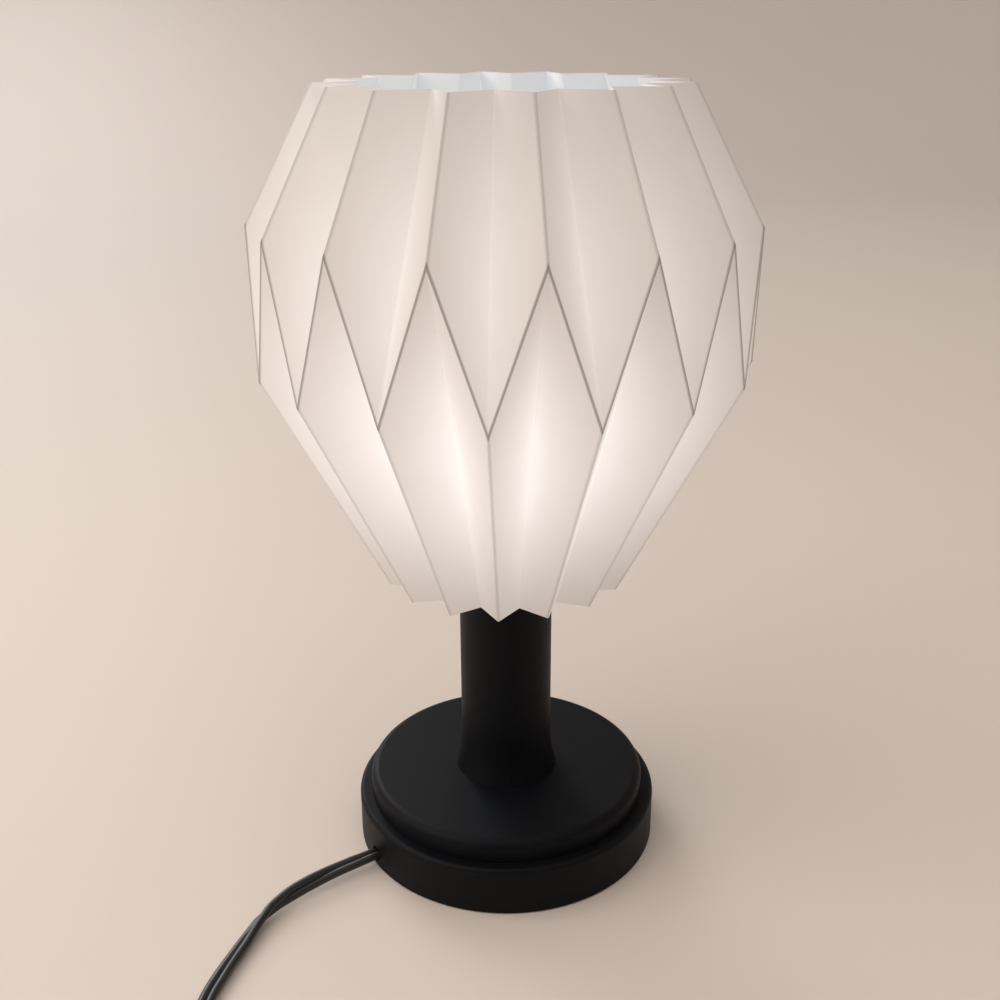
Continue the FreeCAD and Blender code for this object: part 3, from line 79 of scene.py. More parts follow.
def make_piece(name: str, points: list, faces: list, finish: bpy.types.Material,
               crease: float = 35.0) -> bpy.types.Object:
    """Makes a smooth-shaded mesh object whose edges stay crisp above an angle.

    Args:
        name: the piece's name.
        points: its vertices in metres.
        faces: its faces as vertex numbers.
        finish: the material that it wears.
        crease: the angle in degrees above which an edge stays sharp.

    Returns:
        The new object, linked to the scene.
    """
    mesh = bpy.data.meshes.new(name)
    mesh.from_pydata([tuple(p) for p in points], [], faces)
    work = bmesh.new()
    work.from_mesh(mesh)
    bmesh.ops.remove_doubles(work, verts=work.verts, dist=1e-7)
    bmesh.ops.recalc_face_normals(work, faces=work.faces)
    work.to_mesh(mesh)
    work.free()
    mesh.polygons.foreach_set("use_smooth", [True] * len(mesh.polygons))
    mesh.set_sharp_from_angle(angle=math.radians(crease))
    piece = bpy.data.objects.new(name, mesh)
    bpy.context.scene.collection.objects.link(piece)
    mesh.materials.append(finish)
    return piece


def swept_faces(rings: int, count: int) -> list:
    """The faces of an outline swept along a path, with both ends closed.

    Args:
        rings: how many times the outline stands along the path.
        count: how many points the outline has.

    Returns:
        The faces as vertex numbers, for vertices that are made ring by ring.
    """
    faces = [(ring * count + step, ring * count + (step + 1) % count,
              (ring + 1) * count + (step + 1) % count, (ring + 1) * count + step)
             for ring in range(rings - 1) for step in range(count)]
    return faces + [tuple(range(count)), tuple(range((rings - 1) * count, rings * count))]


@dataclass
class Turning:
    """A closed outline of radius and height pairs, with rounded corners, that is turned about an upright axis."""

    corners: list[tuple[float, float, float]] = field(default_factory=list)
    steps: int = 5

    def to(self, radius: float, height: float, bend: float = 0.0) -> "Turning":
        """Adds a corner and how far it is rounded, and returns the outline itself."""
        self.corners.append((radius, height, bend))
        return self

    def outline(self) -> list[Pair]:
        """The outline with its corners rounded.

        Returns:
            Radius and height pairs, in order round the outline.
        """
        path: list[Pair] = []
        count = len(self.corners)
        for index, (radius, height, bend) in enumerate(self.corners):
            here = Vector((radius, height))
            if bend <= 0:
                path.append((radius, height))
                continue
            before = Vector(self.corners[index - 1][:2]) - here
            after = Vector(self.corners[(index + 1) % count][:2]) - here
            half = before.angle(after) / 2
            reach = min(bend / math.tan(half), 0.48 * before.length, 0.48 * after.length)
            true_bend = reach * math.tan(half)
            before.normalize()
            after.normalize()
            centre = here + (before + after).normalized() * (true_bend / math.sin(half))
            start = here + before * reach - centre
            end = here + after * reach - centre
            sweep = math.atan2(start.x * end.y - start.y * end.x, start.dot(end))
            for step in range(self.steps + 1):
                part = sweep * step / self.steps
                turned = Vector((start.x * math.cos(part) - start.y * math.sin(part),
                                 start.x * math.sin(part) + start.y * math.cos(part)))
                path.append(tuple(centre + turned))
        return path

    def mesh(self, segments: int, outline: list[Pair] | None = None, shape=None) -> tuple[list, list]:
        """Turns the outline about the lamp's axis.

        Args:
            segments: how many steps go round the axis.
            outline: the outline to turn, or None for this one's own.
            shape: a function of radius, height and angle that gives the radius there, or None.

        Returns:
            The vertices and the faces.
        """
        path = outline or self.outline()
        points: list[Vector] = []
        rings: list[list[int]] = []
        for radius, height in path:
            if radius < 1e-6:
                points.append(Vector((0, 0, height)))
                rings.append([len(points) - 1] * segments)
                continue
            ring = []
            for step in range(segments):
                turn = 2 * math.pi * step / segments
                reach = shape(radius, height, turn) if shape else radius
                points.append(Vector((reach * math.cos(turn), reach * math.sin(turn), height)))
                ring.append(len(points) - 1)
            rings.append(ring)
        faces = []
        for index, ring in enumerate(rings):
            onward = rings[(index + 1) % len(rings)]
            if ring[0] == ring[1] and onward[0] == onward[1]:
                continue
            for step in range(segments):
                beside = (step + 1) % segments
                corners = [ring[step], ring[beside], onward[beside], onward[step]]
                faces.append(tuple(dict.fromkeys(corners)))
        return points, faces


@dataclass(frozen=True)
class Thread:
    """A rolled or moulded thread on one wall of a turning."""

    radius: float
    low: float
    high: float
    pitch: float
    depth: float

    def levels(self, rising: bool = True) -> list[Pair]:
        """Close outline points along the threaded wall.

        Args:
            rising: whether the outline climbs the wall.

        Returns:
            Radius and height pairs.
        """
        count = max(2, round((self.high - self.low) / self.pitch * 10))
        path = [(self.radius, self.low + (self.high - self.low) * i / count) for i in range(count + 1)]
        return path if rising else path[::-1]

    def wave(self, radius: float, height: float, turn: float) -> float:
        """The wall's radius at a height and an angle, with the thread run out at both ends."""
        if abs(radius - self.radius) > 1e-6 or not self.low <= height <= self.high:
            return radius
        fade = min(1.0, (height - self.low) / self.pitch, (self.high - height) / self.pitch)
        share = 0.5 - 0.5 * math.cos(2 * math.pi * height / self.pitch - turn)
        return radius - self.depth * share * max(fade, 0.0)

    def roll(self, radius: float, height: float, turn: float) -> float:
        """The radius of a thin wall that is rolled into the thread, whichever of its two skins it is."""
        if not self.low <= height <= self.high:
            return radius
        fade = min(1.0, (height - self.low) / self.pitch, (self.high - height) / self.pitch)
        return radius + self.depth / 2 * fade * math.cos(2 * math.pi * height / self.pitch - turn)


# ---------------------------------------------------------------- finishes

class NodeSheet:
    """A material's node tree, with short calls for the nodes that the finishes use."""

    def __init__(self, name: str) -> None:
        """Starts an empty material with one output."""
        self.material = bpy.data.materials.new(name)
        self.material.use_nodes = True
        self.tree = self.material.node_tree
        self.tree.nodes.clear()
        self.output = self.tree.nodes.new("ShaderNodeOutputMaterial")
        self.where = self.tree.nodes.new("ShaderNodeTexCoord").outputs["Object"]

    def node(self, kind: str, **settings) -> bpy.types.Node:
        """Adds a node and sets its options."""
        made = self.tree.nodes.new(kind)
        for name, value in settings.items():
            setattr(made, name, value)
        return made

    def feed(self, target: Socket, source) -> None:
        """Links a socket to another, or writes a plain value into it."""
        if isinstance(source, bpy.types.NodeSocket):
            self.tree.links.new(source, target)
        else:
            target.default_value = source

    def math(self, action: str, first, second=0.0, third=0.0) -> Socket:
        """A number worked out from up to three others."""
        made = self.node("ShaderNodeMath", operation=action)
        for target, source in zip(made.inputs, (first, second, third)):
            self.feed(target, source)
        return made.outputs[0]

    def band(self, distance: Socket, half: float, soft: float) -> Socket:
        """One within half of a line and zero beyond its soft edge."""
        made = self.node("ShaderNodeMapRange", interpolation_type="SMOOTHSTEP")
        for name, value in (("Value", distance), ("From Min", half + soft), ("From Max", half),
                            ("To Min", 0.0), ("To Max", 1.0)):
            self.feed(made.inputs[name], value)
        return made.outputs["Result"]

    def spread(self, source: Socket, low: float, high: float) -> Socket:
        """A zero-to-one value stretched to run from low to high."""
        made = self.node("ShaderNodeMapRange")
        for name, value in (("Value", source), ("To Min", low), ("To Max", high)):
            self.feed(made.inputs[name], value)
        return made.outputs["Result"]

    def noise(self, size: float, detail: float = 3.0, stretch: Triple = (1, 1, 1)) -> Socket:
        """Soft noise whose patches are about a size in metres.

        Args:
            size: the patches' size.
            detail: how many finer layers there are.
            stretch: how much longer the patches are along each axis.

        Returns:
            The noise, from 0 to 1.
        """
        scaled = self.node("ShaderNodeMapping")
        scaled.inputs["Scale"].default_value = [1 / x for x in stretch]
        self.feed(scaled.inputs["Vector"], self.where)
        made = self.node("ShaderNodeTexNoise")
        self.feed(made.inputs["Vector"], scaled.outputs[0])
        made.inputs["Scale"].default_value = 1 / size
        made.inputs["Detail"].default_value = detail
        return made.outputs["Fac"]

    def mix(self, share, first, second) -> Socket:
        """A colour between two others."""
        made = self.node("ShaderNodeMix", data_type="RGBA")
        for target, source in ((made.inputs[0], share), (made.inputs[6], first), (made.inputs[7], second)):
            if isinstance(source, tuple):
                source = (*source, 1.0)
            self.feed(target, source)
        return made.outputs[2]

    def blend(self, share: Socket, first, second) -> Socket:
        """A number between two others."""
        made = self.node("ShaderNodeMix", data_type="FLOAT")
        for target, source in ((made.inputs[0], share), (made.inputs[2], first), (made.inputs[3], second)):
            self.feed(target, source)
        return made.outputs[0]

    def bump(self, height: Socket, depth: float, under: Socket | None = None) -> Socket:
        """A normal disturbed by a zero-to-one height that is some metres deep."""
        made = self.node("ShaderNodeBump")
        made.inputs["Strength"].default_value = 1.0
        made.inputs["Distance"].default_value = depth
        self.feed(made.inputs["Height"], height)
        if under is not None:
            self.feed(made.inputs["Normal"], under)
        return made.outputs["Normal"]

    def surface(self, **inputs) -> bpy.types.Node:
        """Adds the main shader, feeds it and joins it to the output."""
        made = self.node("ShaderNodeBsdfPrincipled")
        for name, value in inputs.items():
            target = made.inputs[name.replace("_", " ")]
            if isinstance(value, tuple) and target.type == "RGBA":
                value = (*value, 1.0)
            self.feed(target, value)
        self.tree.links.new(made.outputs[0], self.output.inputs["Surface"])
        return made


@dataclass(frozen=True)
class MouldedFinish:
    """Moulded or powder-coated black: fine grain, faint cloudiness in tone and shine."""

    name: str
    colour: Triple
    pale: Triple
    roughness: float
    grain: float
    depth: float
    ior: float = 1.5

    def make(self) -> bpy.types.Material:
        """Builds the material and returns it."""
        sheet = NodeSheet(self.name)
        cloud = sheet.noise(0.018, 4.0)
        grain = sheet.noise(self.grain, 2.0)
        tone = sheet.mix(sheet.spread(cloud, 0.0, 0.8), self.colour, self.pale)
        rough = sheet.math("ADD", sheet.spread(cloud, -0.05, 0.06),
                           sheet.spread(grain, self.roughness - 0.05, self.roughness + 0.05))
        sheet.surface(Base_Color=tone, Roughness=rough, Normal=sheet.bump(grain, self.depth), IOR=self.ior)
        return sheet.material


class Brushing(Enum):
    """How a bare metal was worked."""

    ROLLED = (6.0, 6.0, 1.0)
    DRAWN = (1.0, 1.0, 12.0)
    STAMPED = (2.0, 2.0, 2.0)


@dataclass(frozen=True)
class MetalFinish:
    """Bare or plated metal with the marks of its making."""

    name: str
    colour: Triple
    worn: Triple
    roughness: float
    brushing: Brushing

    def make(self) -> bpy.types.Material:
        """Builds the material and returns it."""
        sheet = NodeSheet(self.name)
        streaks = sheet.noise(0.0006, 3.0, self.brushing.value)
        cloud = sheet.noise(0.006, 3.0)
        tone = sheet.mix(sheet.spread(cloud, 0.1, 0.9), self.colour, self.worn)
        rough = sheet.math("ADD", sheet.spread(streaks, -0.08, 0.08), self.roughness)
        sheet.surface(Base_Color=tone, Metallic=1.0, Roughness=rough, Normal=sheet.bump(streaks, 0.00002))
        return sheet.material


@dataclass(frozen=True)
class FoamFinish:
    """Closed-cell foam with small pits."""

    name: str
    colour: Triple

    def make(self) -> bpy.types.Material:
        """Builds the material and returns it."""
        sheet = NodeSheet(self.name)
        cells = sheet.node("ShaderNodeTexVoronoi", feature="SMOOTH_F1")
        cells.inputs["Scale"].default_value = 1800.0
        sheet.feed(cells.inputs["Vector"], sheet.where)
        pale = tuple(2.2 * x for x in self.colour)
        tone = sheet.mix(sheet.noise(0.004, 2.0), self.colour, pale)
        sheet.surface(Base_Color=tone, Roughness=0.92, Normal=sheet.bump(cells.outputs["Distance"], 0.0002))
        return sheet.material


@dataclass(frozen=True)
class StrapFinish:
    """Hook-and-loop strap: crossed threads with a dull nap."""

    name: str
    colour: Triple
    pale: Triple

    def make(self) -> bpy.types.Material:
        """Builds the material and returns it."""
        sheet = NodeSheet(self.name)
        weaves = []
        for axis in ("X", "Y", "Z"):
            wave = sheet.node("ShaderNodeTexWave", bands_direction=axis)
            wave.inputs["Scale"].default_value = 260.0
            wave.inputs["Distortion"].default_value = 0.6
            sheet.feed(wave.inputs["Vector"], sheet.where)
            weaves.append(wave.outputs["Fac"])
        cross = sheet.math("MULTIPLY", sheet.math("MAXIMUM", weaves[0], weaves[1]), weaves[2])
        nap = sheet.noise(0.0003, 4.0)
        height = sheet.math("ADD", cross, sheet.spread(nap, 0.0, 0.6))
        sheet.surface(Base_Color=sheet.mix(cross, self.colour, self.pale), Roughness=0.9,
                      Normal=sheet.bump(height, 0.00018), Sheen_Weight=0.25)
        return sheet.material


@dataclass(frozen=True)
class JacketFinish:
    """Soft black cord jacket: satin, with faint drag marks along it and a little dust."""

    name: str
    colour: Triple
    dusty: Triple

    def make(self) -> bpy.types.Material:
        """Builds the material and returns it."""
        sheet = NodeSheet(self.name)
        dust = sheet.noise(0.004, 4.0)
        fine = sheet.noise(0.0005, 3.0)
        sheet.surface(Base_Color=sheet.mix(sheet.spread(dust, 0.0, 0.7), self.colour, self.dusty),
                      Roughness=sheet.math("ADD", sheet.spread(fine, -0.05, 0.07), sheet.spread(dust, 0.26, 0.38)),
                      Normal=sheet.bump(fine, 0.00004), Specular_IOR_Level=0.55)
        return sheet.material


@dataclass(frozen=True)
class GlowFinish:
    """The frosted bulb: white glass that shines by itself, brightest round its equator."""

    name: str
    colour: Triple
    strength: float
    middle: float

    def make(self) -> bpy.types.Material:
        """Builds the material and returns it."""
        sheet = NodeSheet(self.name)
        split = sheet.node("ShaderNodeSeparateXYZ")
        sheet.feed(split.inputs[0], sheet.where)
        away = sheet.math("ABSOLUTE", sheet.math("SUBTRACT", split.outputs[2], self.middle))
        share = sheet.band(away, 0.012, 0.040)
        frost = sheet.noise(0.0008, 3.0)
        power = sheet.math("MULTIPLY", sheet.spread(share, 0.45, 1.0), self.strength)
        sheet.surface(Base_Color=(0.93, 0.93, 0.91), Roughness=sheet.spread(frost, 0.42, 0.55),
                      Normal=sheet.bump(frost, 0.00002), Emission_Color=self.colour, Emission_Strength=power)
        return sheet.material


@dataclass(frozen=True)
class LightStickFinish:
    """The bulb's light sticks: a yellow coating that shines."""

    name: str
    colour: Triple

    def make(self) -> bpy.types.Material:
        """Builds the material and returns it."""
        sheet = NodeSheet(self.name)
        dots = sheet.noise(0.0012, 1.0)
        sheet.surface(Base_Color=sheet.mix(dots, self.colour, (0.98, 0.85, 0.5)), Roughness=0.5,
                      Emission_Color=(1.0, 0.85, 0.6), Emission_Strength=sheet.spread(dots, 1.5, 2.5))
        return sheet.material


@dataclass(frozen=True)
class ClearGlassFinish:
    """The clear glass inside the bulb."""

    name: str

    def make(self) -> bpy.types.Material:
        """Builds the material and returns it."""
        sheet = NodeSheet(self.name)
        ripple = sheet.noise(0.006, 1.0)
        sheet.surface(Base_Color=(0.96, 0.98, 0.98), Roughness=sheet.spread(ripple, 0.02, 0.06),
                      Transmission_Weight=0.95, Normal=sheet.bump(ripple, 0.0001))
        return sheet.material


@dataclass(frozen=True)
class Crease:
    """How a kind of fold is painted as a line of shade or highlight in the lit sheet: half its core, its soft edge,
    and how much it adds to the glow.
    """

    half: float
    soft: float
    amount: float


@dataclass(frozen=True)
class PleatFinish:
    """The shade's thin translucent sheet, lit by the bulb inside it.

    The sheet scatters the light, so its painted glow falls off softly with the distance to the bulb; it is painted
    brighter towards -X and flat on the inner skin. The folds are painted as thin lines: painted shade along the folds
    that bend outwards and along the zigzag, a painted highlight along those that bend inwards, and the base colour
    darkened on them.
    Lengths are in metres.
    The slant is the zigzag's distance per height, and the glow whitens from warm by a slope and a start.
    """

    name: str
    pleats: int
    azimuth: float
    upper_corner: float
    lower_corner: float
    bulb: float = 0.196
    warm: Triple = (1.0, 0.862, 0.768)
    white: Triple = (1.0, 0.925, 0.885)
    inside: Triple = (0.93, 0.97, 1.0)
    base: Triple = (0.225, 0.210, 0.196)
    # painted shade: the colour that the base colour is darkened towards on the fold lines
    crease_shade: Triple = (0.030, 0.021, 0.015)
    faint: float = 0.130
    gain: float = 0.300
    # painted side light: how much brighter the outer glow is painted per metre towards -X
    painted_side_slope: float = -0.95
    inner: float = 0.52
    reach: float = 0.1
    whiten: Pair = (0.83, -0.91)
    slant: float = 0.328
    zigzag: Crease = Crease(0.00020, 0.00042, -0.53)
    upper_ridge: Crease = Crease(0.00018, 0.00062, -0.25)
    upper_valley: Crease = Crease(0.00012, 0.00030, 0.06)
    lower_ridge: Crease = Crease(0.00018, 0.00062, -0.21)

    def make(self) -> bpy.types.Material:
        """Builds the material and returns it."""
        sheet = NodeSheet(self.name)
        split = sheet.node("ShaderNodeSeparateXYZ")
        sheet.feed(split.inputs[0], sheet.where)
        x, y, z = split.outputs
        glow, heat, outside = self.glow(sheet, x)
        # painted fold lines on the outer skin: painted shade along outward folds and the zigzag, a painted highlight
        # along inward folds
        painted_fold_lines = sheet.blend(outside, 1.0, self.folds(sheet, x, y, z))
        pulp = sheet.noise(0.010, 5.0)
        fibre = sheet.noise(0.0012, 3.0, (1.0, 1.0, 3.0))
        mottle = sheet.math("ADD", sheet.spread(pulp, 0.965, 1.03), sheet.spread(fibre, -0.012, 0.012))
        strength = sheet.math("MULTIPLY", sheet.math("MULTIPLY", glow, painted_fold_lines), mottle)
        colour = sheet.mix(outside, self.inside, sheet.mix(heat, self.warm, self.white))
        stain = sheet.mix(pulp, self.base, tuple(0.95 * c for c in self.base))
        # the base colour takes the painted crease shade on the fold lines
        sheet.surface(Base_Color=sheet.mix(painted_fold_lines, self.crease_shade, stain), Roughness=sheet.spread(fibre, 0.48, 0.60),
                      Specular_IOR_Level=0.25, Emission_Color=colour, Emission_Strength=strength,
                      Normal=sheet.bump(sheet.math("ADD", pulp, sheet.spread(fibre, 0.0, 0.25)), 0.00005))
        return sheet.material

    def folds(self, sheet: NodeSheet, x: Socket, y: Socket, z: Socket) -> Socket:
        """The painted shade and highlight lines along the folds, which darken or brighten the sheet.

        Args:
            sheet: the node tree.
            x: the point's place along X.
            y: the point's place along Y.
            z: the point's height.

        Returns:
            A factor for the glow, one away from the folds.
        """
        radius = sheet.math("SQRT", sheet.math("ADD", sheet.math("MULTIPLY", x, x), sheet.math("MULTIPLY", y, y)))
        turn = sheet.math("ARCTAN2", x, sheet.math("MULTIPLY", y, -1.0))
        half_pleat = math.pi / self.pleats
        from_fold = sheet.math("SUBTRACT", turn, math.radians(self.azimuth))
        off_ridge = sheet.math("ABSOLUTE", sheet.math("WRAP", from_fold, half_pleat, -half_pleat))
        to_ridge = sheet.math("MULTIPLY", radius, off_ridge)
        to_valley = sheet.math("MULTIPLY", radius, sheet.math("SUBTRACT", half_pleat, off_ridge))
        drop = (self.upper_corner - self.lower_corner) / half_pleat
        level = sheet.math("SUBTRACT", self.upper_corner, sheet.math("MULTIPLY", off_ridge, drop))
        above = sheet.math("SUBTRACT", z, level)
        to_zigzag = sheet.math("MULTIPLY", sheet.math("ABSOLUTE", above), self.slant)
        upper = sheet.math("GREATER_THAN", above, 0.0)
        lower = sheet.math("SUBTRACT", 1.0, upper)
        factor = self.line(sheet, to_zigzag, self.zigzag)
        for distance, crease, where in ((to_ridge, self.upper_ridge, upper), (to_valley, self.upper_valley, upper),
                                        (to_valley, self.lower_ridge, lower)):
            factor = sheet.math("MULTIPLY", factor, self.line(sheet, distance, crease, where))
        return factor

    def line(self, sheet: NodeSheet, distance: Socket, crease: Crease, where: Socket | float = 1.0) -> Socket:
        """One fold's painted line of shade or highlight, as a factor for the glow.

        Args:
            sheet: the node tree.
            distance: the distance to the fold.
            crease: how this kind of fold shows.
            where: one where the sheet has this fold.

        Returns:
            One away from the fold, and one plus the crease's amount on it.
        """
        mark = sheet.math("MULTIPLY", sheet.band(distance, crease.half, crease.soft), where)
        return sheet.math("MULTIPLY_ADD", mark, crease.amount, 1.0)

    def glow(self, sheet: NodeSheet, x: Socket) -> tuple[Socket, Socket, Socket]:
        """The painted glow that stands in for the light passing through the sheet from the bulb.

        Args:
            sheet: the node tree.
            x: the point's place along X.

        Returns:
            The glow's strength, how white it is, and one on the outer skin and zero on the inner one.
        """
        to_point = sheet.node("ShaderNodeVectorMath", operation="SUBTRACT")
        sheet.feed(to_point.inputs[0], sheet.where)
        to_point.inputs[1].default_value = (0.0, 0.0, self.bulb)
        square = sheet.node("ShaderNodeVectorMath", operation="DOT_PRODUCT")
        along = sheet.node("ShaderNodeVectorMath", operation="DOT_PRODUCT")
        facing = sheet.node("ShaderNodeVectorTransform", vector_type="NORMAL", convert_from="WORLD",
                            convert_to="OBJECT")
        sheet.feed(facing.inputs[0], sheet.node("ShaderNodeNewGeometry").outputs["True Normal"])
        for made, other in ((square, to_point), (along, facing)):
            sheet.feed(made.inputs[0], to_point.outputs[0])
            sheet.feed(made.inputs[1], other.outputs[0])
        nearness = sheet.math("DIVIDE", self.reach * self.reach, square.outputs["Value"])
        outside = sheet.math("GREATER_THAN", along.outputs["Value"], 0.0)
        # painted side light: the outer glow is painted brighter towards -X, on top of a faint flat share
        beside = sheet.math("MULTIPLY_ADD", x, self.painted_side_slope, self.faint)
        outer = sheet.math("MULTIPLY_ADD", nearness, self.gain, beside)
        # the inner skin gets a flat painted glow instead
        strength = sheet.blend(outside, self.inner, outer)
        return strength, sheet.math("MULTIPLY_ADD", nearness, *self.whiten), outside


# ---------------------------------------------------------------- the shade

@dataclass
class PleatedShade:
    """The pleated sheet: flat facets on two star pyramids, one above and one below the zigzag of folds."""

    pleats: int = 16
    azimuth: float = -14.5
    low: float = 0.1108
    height: float = 0.1707
    corner: float = 0.0850
    lower_corner: float = 0.0794
    upper_corner: float = 0.1274
    foot: float = 0.0439
    mouth: float = 0.0615
    sheet: float = 0.0005
    fold: float = 0.00035

    def point(self, outward: bool, index: int, height: float) -> Vector:
        """A point of the outer skin on a fold line.

        Args:
            outward: whether the fold points outwards above the zigzag.
            index: which pleat it belongs to.
            height: height above the table.

        Returns:
            The point in the row frame.
        """
        top = self.low + self.height
        upper = self.low + self.upper_corner
        lower = self.low + self.lower_corner
        low_apex = self.low - self.foot * self.lower_corner / (self.corner - self.foot)
        high_apex = top + self.mouth * (top - upper) / (self.corner - self.mouth)
        level = upper if outward else lower
        under = self.corner * (height - low_apex) / (level - low_apex)
        over = self.corner * (high_apex - height) / (high_apex - level)
        turn = self.azimuth + 360 / self.pleats * (index if outward else index + 0.5)
        return polar(min(under, over), turn, height)

    def facets(self) -> tuple[list, list]:
        """The outer skin's vertices and faces, before its folds are softened."""
        top = self.low + self.height
        levels = ((True, self.low + self.upper_corner), (False, self.low + self.lower_corner))
        points: list[Vector] = []
        for index in range(self.pleats):
            for outward, level in levels:
                points += [self.point(outward, index, z) for z in (self.low, level, top)]
        faces = []
        count = len(points)
        for index in range(self.pleats):
            ridge = 6 * index
            for valley in (ridge + 3, (ridge - 3) % count):
                faces.append((ridge + 2, valley + 2, valley + 1, ridge + 1))
                faces.append((ridge + 1, valley + 1, valley, ridge))
        return points, faces

    def build(self, finish: bpy.types.Material) -> bpy.types.Object:
        """Makes the sheet with soft folds and its real thickness.

        Args:
            finish: the sheet's material.

        Returns:
            The piece.
        """
        points, faces = self.facets()
        piece = make_piece("shade_sheet", points, faces, finish, 8.0)
        work = bmesh.new()
        work.from_mesh(piece.data)
        folds = [e for e in work.edges if len(e.link_faces) == 2]
        bmesh.ops.bevel(work, geom=folds, offset=self.fold, segments=2, profile=0.5, affect="EDGES")
        bmesh.ops.recalc_face_normals(work, faces=work.faces)
        work.to_mesh(piece.data)
        work.free()
        middle = Vector((0, 0, self.low + self.height / 2))
        outward = sum(1 if (f.center - middle).dot(f.normal) > 0 else -1 for f in piece.data.polygons)
        if outward < 0:
            piece.data.flip_normals()
        wall = piece.modifiers.new("sheet", "SOLIDIFY")
        wall.thickness = self.sheet
        wall.offset = -1.0
        wall.use_even_offset = True
        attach(piece, "shade")
        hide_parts("pleated_shade")
        return piece


# ---------------------------------------------------------------- socket and bulb

@dataclass
class SocketAndBulb:
    """The threaded pieces at the lamp's middle, which show when the bulb is lifted out."""

    barrel: float = 0.0192
    floor: float = 0.119
    bulb_cap: float = 0.0130
    shell_wall: float = 0.0004
    pitch: float = 0.00363

    def barrel_piece(self, finish: bpy.types.Material) -> bpy.types.Object:
        """The socket's barrel, with a coarse outer thread for the ring nut."""
        low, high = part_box("socket_body")
        flange = high.x
        thread = Thread(self.barrel, low.z + 0.0040, high.z - 0.0012, 0.0025, 0.0005)
        bore = self.bulb_cap + 0.00085
        shape = Turning()
        shape.to(0.0, low.z).to(flange, low.z, 0.0003).to(flange, low.z + 0.0026, 0.0006)
        shape.to(self.barrel, low.z + 0.0026)
        path = shape.outline() + thread.levels()
        rim = Turning().to(self.barrel, high.z, 0.0009).to(bore, high.z, 0.0005)
        path += rim.to(bore, self.floor).to(0.0, self.floor).outline()
        points, faces = shape.mesh(160, path, thread.wave)
        piece = make_piece("socket_barrel", points, faces, finish)
        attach(piece, "lamp")
        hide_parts("socket_body")
        return piece

    def shell_piece(self, finish: bpy.types.Material) -> bpy.types.Object:
        """The socket's rolled brass shell."""
        low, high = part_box("screw_shell")
        inner = self.bulb_cap + 0.0003
        outer = inner + self.shell_wall
        walls = [Thread(r, low.z + 0.0030, high.z - 0.0006, self.pitch, 0.00024) for r in (outer, inner)]
        lip = inner - 0.0012
        path = [(lip, low.z), (outer, low.z)] + walls[0].levels() + [(outer, high.z), (inner, high.z)]
        path += walls[1].levels(False) + [(inner, low.z + self.shell_wall), (lip, low.z + self.shell_wall)]
        points, faces = Turning().mesh(128, path, walls[0].roll)
        piece = make_piece("socket_shell", points, faces, finish)
        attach(piece, "lamp")
        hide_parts("screw_shell")
        return piece

    def bulb_cap_piece(self, finish: bpy.types.Material) -> bpy.types.Object:
        """The bulb's rolled screw cap."""
        low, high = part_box("bulb_screw_cap")
        thread = Thread(self.bulb_cap, low.z + 0.0026, high.z - 0.0045, self.pitch, 0.0009)
        foot = Turning().to(0.0, low.z).to(self.bulb_cap - 0.0025, low.z, 0.0006)
        foot.to(self.bulb_cap, low.z + 0.0024, 0.0006)
        path = foot.outline() + thread.levels()
        path += [(self.bulb_cap, high.z - 0.0006), (self.bulb_cap - 0.0004, high.z), (0.0, high.z)]
        points, faces = Turning().mesh(144, path, thread.wave)
        piece = make_piece("bulb_cap", points, faces, finish)
        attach(piece, "bulb")
        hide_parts("bulb_screw_cap")
        return piece


# ---------------------------------------------------------------- the cord

